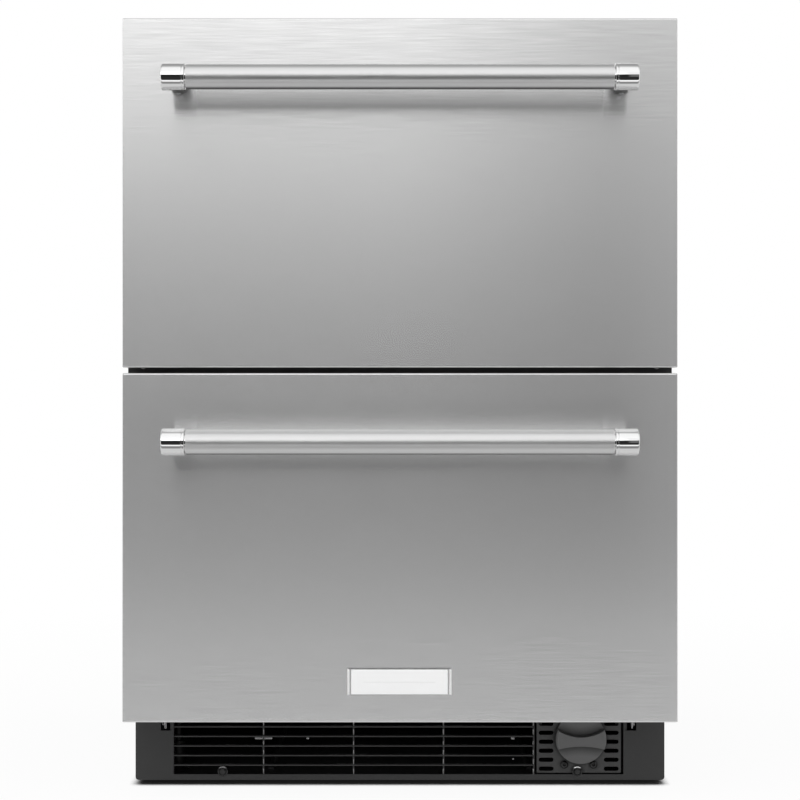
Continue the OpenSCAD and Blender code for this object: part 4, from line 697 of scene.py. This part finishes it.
# ---- Studio ------------------------------------------------------------------------------
# A white floor and world, one large soft lamp overhead and a weaker one at the right. The
# camera's distance is assumed, and its height, focal length and axis row are fitted to the
# photograph for that distance.

CAMERA_DISTANCE = 2.0
CAMERA_HEIGHT = 0.458
FOCAL_PX = 1834.4
IMAGE_PX = 800
AXIS_ROW = 385
SENSOR = 36.0

front_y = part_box("upper_skin")[0][1]
camera_data = bpy.data.cameras.new("camera")
camera_data.sensor_width = SENSOR
camera_data.lens = FOCAL_PX / IMAGE_PX * SENSOR
camera_data.shift_y = (AXIS_ROW - IMAGE_PX / 2) / IMAGE_PX
camera = bpy.data.objects.new("camera", camera_data)
camera.location = (0, front_y - CAMERA_DISTANCE, CAMERA_HEIGHT)
camera.rotation_euler = (math.pi / 2, 0, 0)
bpy.context.scene.collection.objects.link(camera)
bpy.context.scene.camera = camera


def stage_sheet(name, points, material):
    """A flat or bent sheet of the studio from an (n, m, 3) grid of points."""
    rows, columns = points.shape[:2]
    index = np.arange(rows * columns).reshape(rows, columns)
    quads = np.stack([index[:-1, :-1], index[1:, :-1], index[1:, 1:], index[:-1, 1:]], -1)
    mesh = bpy.data.meshes.new(name)
    mesh.from_pydata(points.reshape(-1, 3), [], quads.reshape(-1, 4))
    mesh.materials.append(material)
    sheet = bpy.data.objects.new(name, mesh)
    bpy.context.scene.collection.objects.link(sheet)
    return sheet


def flat_sheet(name, x, y, z, material):
    """A level sheet over the ranges x and y at height z."""
    grid = np.meshgrid(np.array(x), np.array(y), indexing="ij")
    return stage_sheet(name, np.stack([*grid, np.full((2, 2), z)], -1), material)


def glossy_only(sheet):
    """Only mirror-like surfaces see the sheet."""
    sheet.visible_camera = False
    sheet.visible_diffuse = False
    sheet.visible_shadow = False


floor_finish = Finish("studio_floor", grey(0.93), 0.9)
white = floor_finish.node("ShaderNodeEmission", {}, {"Strength": 1.0})
# Painted contact shadow: the white that the camera sees falls to black where the floor lies within 11 mm
# of the object, under its edges.
nearby = floor_finish.node("ShaderNodeAmbientOcclusion", {"samples": 8}, {"Distance": 0.011}, "AO")
painted_contact_shadow = floor_finish.ramp(
    nearby, (0.0, grey(0.0)), (0.5, grey(0.006)), (0.72, grey(0.55)), (0.95, grey(1.0)))
floor_finish.tree.links.new(painted_contact_shadow.socket, white.socket.node.inputs["Color"])
path = floor_finish.node("ShaderNodeLightPath", outlet="Is Camera Ray")
far = floor_finish.node(
    "ShaderNodeVectorMath", {"operation": "LENGTH"}, {0: floor_finish.place()}, "Value")
white_seen = path * floor_finish.level(far, 0.5, 1.6, 0.93, 1.0)
shown = floor_finish.node("ShaderNodeMixShader", {}, {0: white_seen})
floor_finish.tree.links.new(floor_finish.shader.outputs[0], shown.socket.node.inputs[1])
floor_finish.tree.links.new(white.socket, shown.socket.node.inputs[2])
floor_finish.tree.links.new(shown.socket, floor_finish.tree.nodes["Material Output"].inputs[0])
studio_floor = flat_sheet("studio_floor", (-6, 6), (-6, 6), 0.0, floor_finish.material)
studio_floor.visible_glossy = False

# Three sheets that the camera doesn't see stand for what the steel mirrors. Their tones were set
# over many renders, until the fronts' light and dark bands came near the photograph's.
# They are a studio tuned to that one picture, and not measured.
glow = {"Specular IOR Level": 0.0, "Emission Strength": 1.0}
seen_floor = Finish("floor_in_steel", grey(0.0), 1.0, glow)
in_front = seen_floor.along("Y") * -1
seen_floor.feed("Emission Color", seen_floor.ramp(
    seen_floor.level(in_front, 0.0, 5.0),
    (0.0, grey(0.64)), (0.118, grey(0.64)), (0.13, grey(0.24)), (0.178, grey(0.24)),
    (0.20, grey(0.87)), (0.25, grey(1.24)), (0.285, grey(0.025))))
glossy_only(flat_sheet("floor_in_steel", (-6, 6), (-6, 6), 0.0002, seen_floor.material))

END_RADIUS = 5.0
END_HEIGHT = 4.0
turn = np.linspace(math.radians(-80), math.radians(80), 41)
around, upright = np.meshgrid(turn, np.linspace(0, END_HEIGHT, 5), indexing="ij")
end_points = np.stack([END_RADIUS * np.sin(around), front_y - END_RADIUS * np.cos(around), upright], -1)
seen_end = Finish("studio_end", grey(0.0), 1.0, glow)
sideways, upwards = seen_end.along("X"), seen_end.along("Z")
left_tone = seen_end.ramp(
    upwards * (1 / END_HEIGHT),
    (0.0, grey(0.02)), (0.37, grey(0.02)), (0.38, grey(0.40)), (0.415, grey(0.50)), (0.43, grey(2.1)),
    (0.60, grey(1.8)), (0.8, grey(1.20)))
right_tone = seen_end.ramp(
    upwards * (1 / END_HEIGHT),
    (0.0, grey(0.02)), (0.37, grey(0.02)), (0.38, grey(0.16)), (0.415, grey(0.22)), (0.43, grey(0.95)),
    (0.60, grey(1.15)), (0.8, grey(1.10)))
edge_tone = seen_end.ramp(
    upwards * (1 / END_HEIGHT),
    (0.0, grey(0.15)), (0.37, grey(0.15)), (0.38, grey(0.22)), (0.415, grey(0.28)), (0.43, grey(0.85)),
    (0.60, grey(1.0)), (0.8, grey(1.0)))
across = seen_end.mix(seen_end.level(sideways, 0.0, 0.8), left_tone, right_tone)
seen_end.feed("Emission Color", seen_end.mix(seen_end.level(sideways, 0.84, 1.0), across, edge_tone))
glossy_only(stage_sheet("studio_end", end_points, seen_end.material))

seen_ceiling = Finish("studio_ceiling", grey(0.0), 1.0, glow)
overhead_y = seen_ceiling.along("Y") * -1
seen_ceiling.feed("Emission Color", seen_ceiling.ramp(
    seen_ceiling.level(overhead_y, -0.5, 5.5),
    (0.0, grey(0.35)), (0.12, grey(0.45)), (0.30, grey(1.0)), (1.0, grey(1.1))))
glossy_only(flat_sheet("studio_ceiling", (-6, 6), (-5.5, 4), END_HEIGHT, seen_ceiling.material))


def soft_lamp(name, place, target, width, height, power):
    """A rectangular lamp at place, turned to face target."""
    data = bpy.data.lights.new(name, "AREA")
    data.shape = "RECTANGLE"
    data.size, data.size_y, data.energy = width, height, power
    lamp = bpy.data.objects.new(name, data)
    lamp.visible_glossy = False
    lamp.location = place
    away = np.subtract(place, target)
    flat = math.hypot(away[0], away[1])
    lamp.rotation_euler = (math.atan2(flat, away[2]), 0, math.atan2(away[1], away[0]) + math.pi / 2)
    bpy.context.scene.collection.objects.link(lamp)
    return lamp


middle_height = (0, 0, 0.4)
soft_lamp("overhead", (-0.8, -1.9, 2.9), middle_height, width=2.4, height=1.6, power=24)
soft_lamp("right_fill", (2.6, -2.2, 1.2), middle_height, width=1.2, height=1.6, power=10)

# The world lights the object at a plain level, and is white where it is seen or mirrored.
AMBIENT = 0.75
world = bpy.data.worlds.new("studio")
world.use_nodes = True
air = Nodes(world.node_tree)
seen, mirrored, through = [
    air.node("ShaderNodeLightPath", outlet=f"Is {ray} Ray")
    for ray in ("Camera", "Glossy", "Transmission")
]
white_share = seen.maths("MAXIMUM", mirrored).maths("MAXIMUM", through)
background = world.node_tree.nodes["Background"]
background.inputs["Color"].default_value = grey4(1.0)
strength = air.level(white_share, 0.0, 1.0, AMBIENT, 1.0)
air.tree.links.new(strength.socket, background.inputs["Strength"])
bpy.context.scene.world = world
bpy.context.scene.view_settings.view_transform = "Standard"
